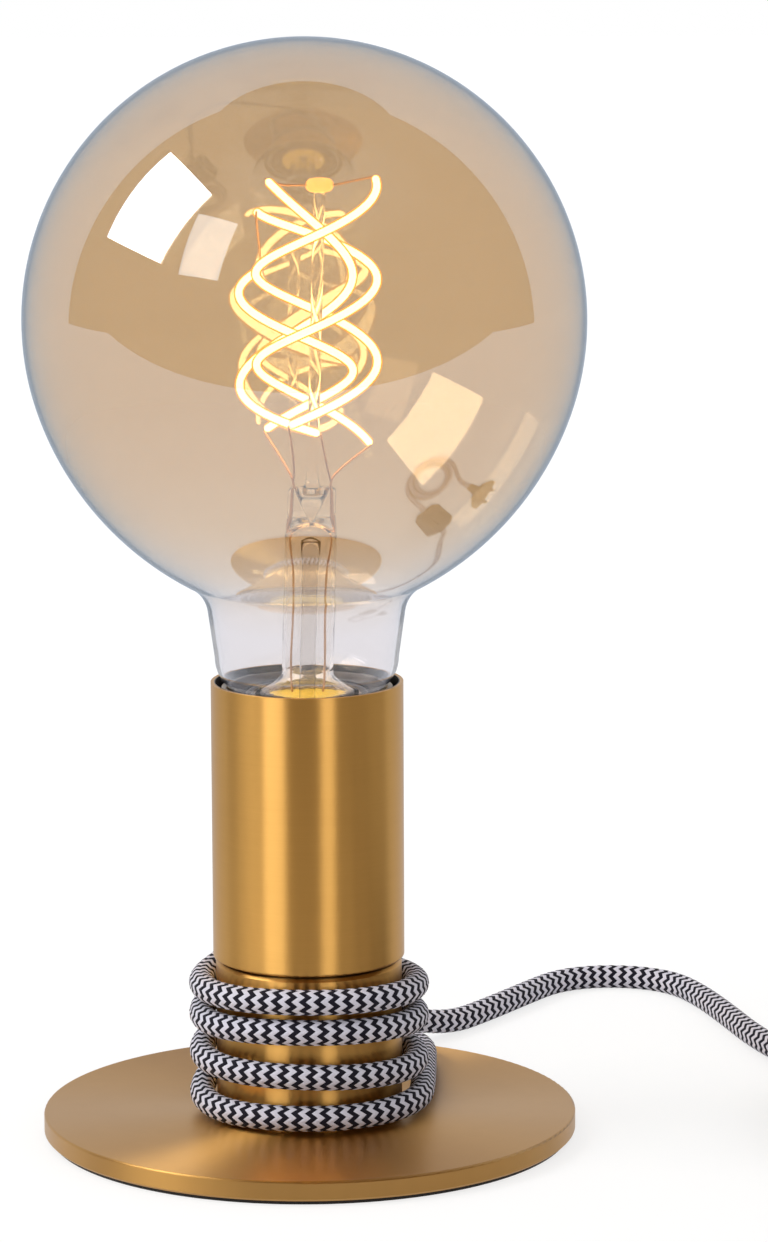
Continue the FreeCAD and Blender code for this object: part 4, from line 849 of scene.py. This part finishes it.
def stem_rows():
    """Up the outside of the stem, over its pinch, and down its bore to the flare."""
    rows = [(STEM_LOW, STEM_FLARE, STEM_FLARE, 0.0)]
    for share in np.linspace(0.12, 1.0, 9):
        radius = STEM_RADIUS + (STEM_FLARE - STEM_RADIUS) * (1 - share) ** FLARE_BEND
        rows.append((STEM_LOW + FLARE_HIGH * share, radius, radius, 0.0))
    for height in np.linspace(STEM_LOW + 2 * FLARE_HIGH, STEM_END - TOP_ROUND, 26):
        flat = eased_share(height, FLAT_START, PINCH_LOW + 0.002)
        rows.append((height, STEM_RADIUS + (PINCH_HALF - STEM_RADIUS) * flat,
                     STEM_RADIUS + (PINCH_DEPTH - STEM_RADIUS) * flat, PINCH_SQUARE * flat))
    for share in (0.35, 0.7, 0.92, 1.0):
        shrink = TOP_ROUND * (1 - math.sqrt(1 - share * share))
        rows.append((STEM_END - TOP_ROUND + TOP_ROUND * share, PINCH_HALF - shrink,
                     PINCH_DEPTH - shrink, PINCH_SQUARE))
    bore = STEM_RADIUS - STEM_WALL
    dome = PINCH_LOW - 0.0045
    for share in (0.999, 0.94, 0.8, 0.6, 0.35, 0.0):
        width = bore * math.sqrt(1 - share * share) * 0.93 + 0.0001
        rows.append((dome + BORE_DOME * share, width, width * 0.72, 0.4))
    for height in np.linspace(dome - 0.004, STEM_LOW + 0.012, 8):
        rows.append((height, bore, bore, 0.0))
    for share in np.linspace(1.0, 0.0, 9):
        radius = bore + (STEM_FLARE - STEM_WALL - bore) * (1 - share) ** FLARE_BEND
        rows.append((STEM_LOW + 0.0046 * share + 0.0001, radius, radius, 0.0))
    return rows


stem = blown("stem", stem_rows(), loop=True)
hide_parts("glass_stem")

ROD = 0.0013
ROD_TOP = 0.2134

rod_rows = [(STEM_END - 0.0004, 0.0022, 0.0018, 0.0), (STEM_END + 0.0006, 0.0017, 0.0015, 0.0),
            (STEM_END + 0.002, 0.0014, 0.0014, 0.0)]
rod_rows += [(height, ROD, ROD, 0.0) for height in np.linspace(0.152, 0.2125, 24)]
rod = blown("rod", rod_rows + [(ROD_TOP, 0.0016, 0.0016, 0.0)])
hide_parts("centre_rod")

BUTTON_MIDDLE = 0.2150
BUTTON_HALF = 0.0016
BUTTON_WIDE, BUTTON_DEEP = 0.0029, 0.0026
BUTTON_TIP = 0.0002

button_rows = []
for a in np.linspace(-math.pi / 2, math.pi / 2, 15):
    swell = abs(math.cos(a)) ** 0.5
    button_rows.append((BUTTON_MIDDLE + BUTTON_HALF * math.sin(a),
                        BUTTON_TIP + BUTTON_WIDE * swell, BUTTON_TIP + BUTTON_DEEP * swell, 0.0))
button = blown("button", button_rows)
# The button's orange glow is painted light: the glass button is no lamp, and its emission stands
# in for the filaments' light caught in it.
button_glass = new_finish("button_glass")
button.data.materials.clear()
button.data.materials.append(button_glass.done(button_glass.surface({
    "Base Color": button_glass.mix(button_glass.noise(button_glass.place(), 500.0),
                                   (1.0, 0.74, 0.44), (1.0, 0.86, 0.60)),
    "Roughness": 0.08, "IOR": 1.5,
    "Transmission Weight": 0.75, "Emission Color": (1.0, 0.45, 0.10),
    "Emission Strength": 1.0})))
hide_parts("rod_button")

EXHAUST = 0.0018
EXHAUST_BORE = 0.0016
EXHAUST_BELOW = 0.0118

exhaust_rows = [(STEM_LOW - EXHAUST_BELOW, EXHAUST, EXHAUST, 0.0)]
exhaust_rows += [(height, EXHAUST, EXHAUST, 0.0) for height in np.linspace(0.092, 0.1355, 12)]
exhaust_rows += [(0.1358, 0.0017, 0.0017, 0.0)]
exhaust_rows += [(height, EXHAUST_BORE, EXHAUST_BORE, 0.0)
                 for height in np.linspace(0.1356, 0.0902, 12)]
exhaust = blown("exhaust", exhaust_rows, loop=True)
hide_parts("exhaust_tube")

# ---------------------------------------------------------------- filaments
# Four soft strips of small lamps in phosphor, white hot inside and amber at the skin, bent into
# open coils. Copper-clad wires in the button and in the pinch hold their ends and feed them.

SEAT = 0.0749
STRIP_COAT = 0.00115
STRIP_CORE = 0.00078
CORE_GLOW, COAT_GLOW = 25.0, 2.2
COAT_SHARE = 0.72
BLACK = (0.0, 0.0, 0.0)
WIDE = (0.0027, 0.0134, 0.0134)
NARROW = (-0.0019, 0.0126, 0.0095)
WIRE = 0.00025
WIRE_SEAT = 0.00006


class Strip:
    """One bar of light, from 0 at its top to 1 at its foot. It turns round an oval given by its
    shift to the right, reach and depth, in degrees from start. It falls by drop from top, above
    the bulb's seat, and bow bends that fall."""

    def __init__(self, oval, top, drop, start, turn, bow):
        self.oval = oval
        self.top, self.drop, self.start, self.turn, self.bow = top, drop, start, turn, bow

    def at(self, share):
        """Places on the bar."""
        share = np.asarray(share, float)
        shift, reach, depth = self.oval
        angle = np.radians(self.start + self.turn * share)
        fall = self.drop * share * (1 + self.bow * (1 - share))
        return np.stack([shift + reach * np.cos(angle), depth * np.sin(angle),
                         SEAT + self.top - fall], -1)

    def tip(self, share):
        """Where a wire's end lies against an end face."""
        way = self.at(share + 1e-4) - self.at(share - 1e-4)
        way *= (-1 if share == 0 else 1) / np.linalg.norm(way)
        return self.at(share) + way * (WIRE + WIRE_SEAT)


def round_bar(name, places, radius, around=14, rounded_end=True):
    """A round bar along places, its ends rounded off or only eased."""
    line = Line(np.array(places))
    end = radius if rounded_end else radius * 0.2
    near = end * (1 - np.cos(np.linspace(0.0, math.pi / 2, 6)))
    count = max(4, int(line.length / (radius * 1.2)))
    lengths = np.r_[near, np.linspace(end, line.length - end, count)[1:-1],
                    line.length - near[::-1]]
    edge = np.minimum(lengths, line.length - lengths)
    swell = np.sqrt(np.clip(1 - (1 - np.clip(edge / end, 0, 1)) ** 2, 1e-4, 1.0))
    turn = np.arange(around) * 2 * math.pi / around
    grid = line.around(np.broadcast_to(lengths[:, None], (len(lengths), around)),
                       np.broadcast_to(turn[None], (len(lengths), around)),
                       radius * swell[:, None] * np.ones(around))
    last = (len(grid) - 1) * around
    bar = grid_piece(name, grid, caps=[list(range(around))[::-1],
                                       [last + k for k in range(around)]])
    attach(bar, "bulb")
    return bar


heat = new_finish("filament_core")
grains = heat.noise(heat.place(), 900.0)
filament_core = heat.done(heat.surface({
    "Base Color": BLACK, "Specular IOR Level": 0.0, "Roughness": 1.0,
    "Emission Color": heat.mix(grains, (1.0, 0.84, 0.55), (1.0, 0.90, 0.70)),
    "Emission Strength": CORE_GLOW}))
skin = new_finish("filament_coat")
blush = skin.mix(skin.noise(skin.place(), 700.0), (1.0, 0.41, 0.055), (1.0, 0.50, 0.09))
haze = skin.surface({"Base Color": BLACK, "Specular IOR Level": 0.0, "Roughness": 1.0,
                     "Emission Color": blush, "Emission Strength": COAT_GLOW})
filament_coat = skin.done(skin.shader_mix(
    COAT_SHARE, skin.node("ShaderNodeBsdfTransparent", {"Color": (1.0, 0.86, 0.62)}), haze))

STRIPS = {
    "right_1": Strip(WIDE, top=0.1415, drop=0.0531, start=15.0, turn=-490.0, bow=0.0),
    "right_2": Strip(WIDE, top=0.1341, drop=0.0525, start=171.0, turn=-501.0, bow=-0.25),
    "left_1": Strip(NARROW, top=0.1421, drop=0.0560, start=242.0, turn=413.0, bow=0.5),
    "left_2": Strip(NARROW, top=0.1203, drop=0.0357, start=135.0, turn=351.0, bow=-0.2)}
for label, strip in STRIPS.items():
    places = strip.at(np.linspace(0.0, 1.0, 160))
    group = label.split("_")[0]
    for layer, radius, look in (("coat", STRIP_COAT, filament_coat),
                                ("core", STRIP_CORE, filament_core)):
        bar = round_bar(f"filament_{label}_{layer}", places, radius)
        bar.data.materials.append(look)
        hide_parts(f"filament_{group}")

clad_copper = plated_metal("copper_clad_wire", (0.80, 0.50, 0.30), 0.35)


def wire(name, node, *points):
    """A thin wire along its corners."""
    route = smooth_line("wire_route", [tuple(point) for point in points])
    piece = round_bar(name, route, WIRE, around=8, rounded_end=False)
    piece.data.materials.append(clad_copper)
    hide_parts(node)


button_at = leaning((0.0, 0.0, BUTTON_MIDDLE))
foot_at = leaning((0.0, 0.0, STEM_END))
PINCH_WIRE = 0.0040
BUTTON_GRIP = 0.0022
right_1, right_2, left_1, left_2 = STRIPS.values()
wire("support_right", "support_wires", button_at + (BUTTON_GRIP, 0, 0),
     button_at + (0.0036, 0, 0), (0.0098, 0.0028, 0.2155), right_1.tip(0))
wire("support_left", "support_wires", button_at - (BUTTON_GRIP, 0, 0),
     button_at - (0.0040, 0, 0), (-0.0058, -0.0024, 0.2152), left_1.tip(0))
wire("support_link", "support_wires", right_2.tip(0), right_2.tip(0) + (0, -0.0013, -0.0025),
     left_2.tip(0) + (0.0008, 0.0006, 0.0025), left_2.tip(0))
for side, word, main, branch in ((-1, "left", left_2, right_1), (1, "right", right_2, left_1)):
    low = leaning((side * PINCH_WIRE, 0.0, 0.1060))
    shoulder = leaning((side * 0.0043, 0.0, 0.1385))
    top = foot_at + (side * PINCH_WIRE, 0.0, 0.0)
    wire(f"stem_wire_{word}", "lead_in_wires", low - (side * 0.0006, 0, 0.0040), low,
         leaning((side * 0.0034, 0.0, 0.1230)), shoulder, top)
    wire(f"lead_in_{word}", "lead_in_wires", top - (0, 0, 0.0010), top,
         top + (side * 0.0007, 0.0, 0.0032), main.tip(1))
    wire(f"lead_branch_{word}", "lead_in_wires", top + (side * 0.0002, 0, 0.0012),
         top + (-side * 0.0006, -0.0040, 0.0050), branch.tip(1))

# ---------------------------------------------------------------- cement in the cap
# Tan basing cement in the mouth of the cap, round the exhaust tube. It goes in as a paste and is
# baked hard, which holds glass and cap together.

CEMENT_BORE, CEMENT_LOW = 0.0022, 0.0998

cement_section = [(CEMENT_BORE, CEMENT_LOW), (0.0113, CEMENT_LOW), (0.0117, 0.1003),
                  (0.0116, 0.1010), (0.0090, 0.1005), (CEMENT_BORE, 0.1003)]
cement = turned_shell("cap_cement", cement_section, around=96)
tan = new_finish("basing_cement")
lumps = tan.noise(tan.place(), 420.0, detail=4.0)
# The yellow glow is painted light: the cement is no lamp, and its emission stands in for the
# filaments' light reaching it through the glass.
cement.data.materials.append(tan.done(tan.surface({
    "Base Color": tan.mix(lumps, (0.72, 0.50, 0.04), (0.95, 0.72, 0.10)),
    "Roughness": 0.45, "Emission Color": (1.0, 0.62, 0.05), "Emission Strength": 0.45,
    "Normal": tan.bumped(lumps, 0.0004)})))
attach(cement, "bulb")

# ---------------------------------------------------------------- in-line switch
# Two halves of black moulded plastic, screwed together from below, with a rocker between two
# bearings over its contacts. The rocker's edges are softly rounded.

for node in ("switch_base", "switch_cover", "switch_rocker", "rocker_bearings"):
    dress(node, black_plastic)
dress("switch_screws", steel)
dress("switch_contacts", contact_brass)

ROCKER_EDGE = 0.0004
SHARP = math.radians(35.0)

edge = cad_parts["switch_rocker"].modifiers.new("edge", "BEVEL")
edge.width = ROCKER_EDGE
edge.segments = 3
edge.limit_method = "ANGLE"
edge.angle_limit = SHARP

# ---------------------------------------------------------------- plug
# A flat two-pin plug of black moulded plastic with a ribbed strain relief, brass pins with
# nickel on them, and black sleeves on their inner half.

dress("plug_body", black_plastic)
dress("plug_pins", plated_metal("nickel_pins", (0.66, 0.62, 0.56), 0.26))
dress("pin_sleeves", black_plastic)

RELIEF_LONG = 0.026
RELIEF_SMALL, RELIEF_LARGE = 0.0039, 0.0054
RELIEF_RIBS = 7
RELIEF_GROOVE = 0.0009
RELIEF_PLAIN_BELOW, RELIEF_PLAIN_ABOVE = 0.04, 0.92


def relief_section():
    """Half section of the strain relief: a cone with grooves, open for the cord."""
    section = []
    for share in np.linspace(0.0, 1.0, RELIEF_RIBS * 8 + 1):
        radius = RELIEF_SMALL + (RELIEF_LARGE - RELIEF_SMALL) * share
        wave = math.sin(2 * math.pi * (share * RELIEF_RIBS - 0.25))
        groove = RELIEF_GROOVE * max(0.0, wave) ** 0.7
        if share < RELIEF_PLAIN_BELOW or share > RELIEF_PLAIN_ABOVE:
            groove = 0.0
        section.append((radius - groove, share * RELIEF_LONG))
    return section + [(CORD / 2, RELIEF_LONG), (CORD / 2, 0.0)]


relief = turned_shell("strain_relief", relief_section(), around=40)
relief.data.transform(Matrix.Translation(RELIEF_MOUTH)
                      @ Matrix.Rotation(-math.pi / 2, 4, "X"))
relief.data.materials.append(black_plastic)
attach(relief, "root")
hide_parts("plug_relief")
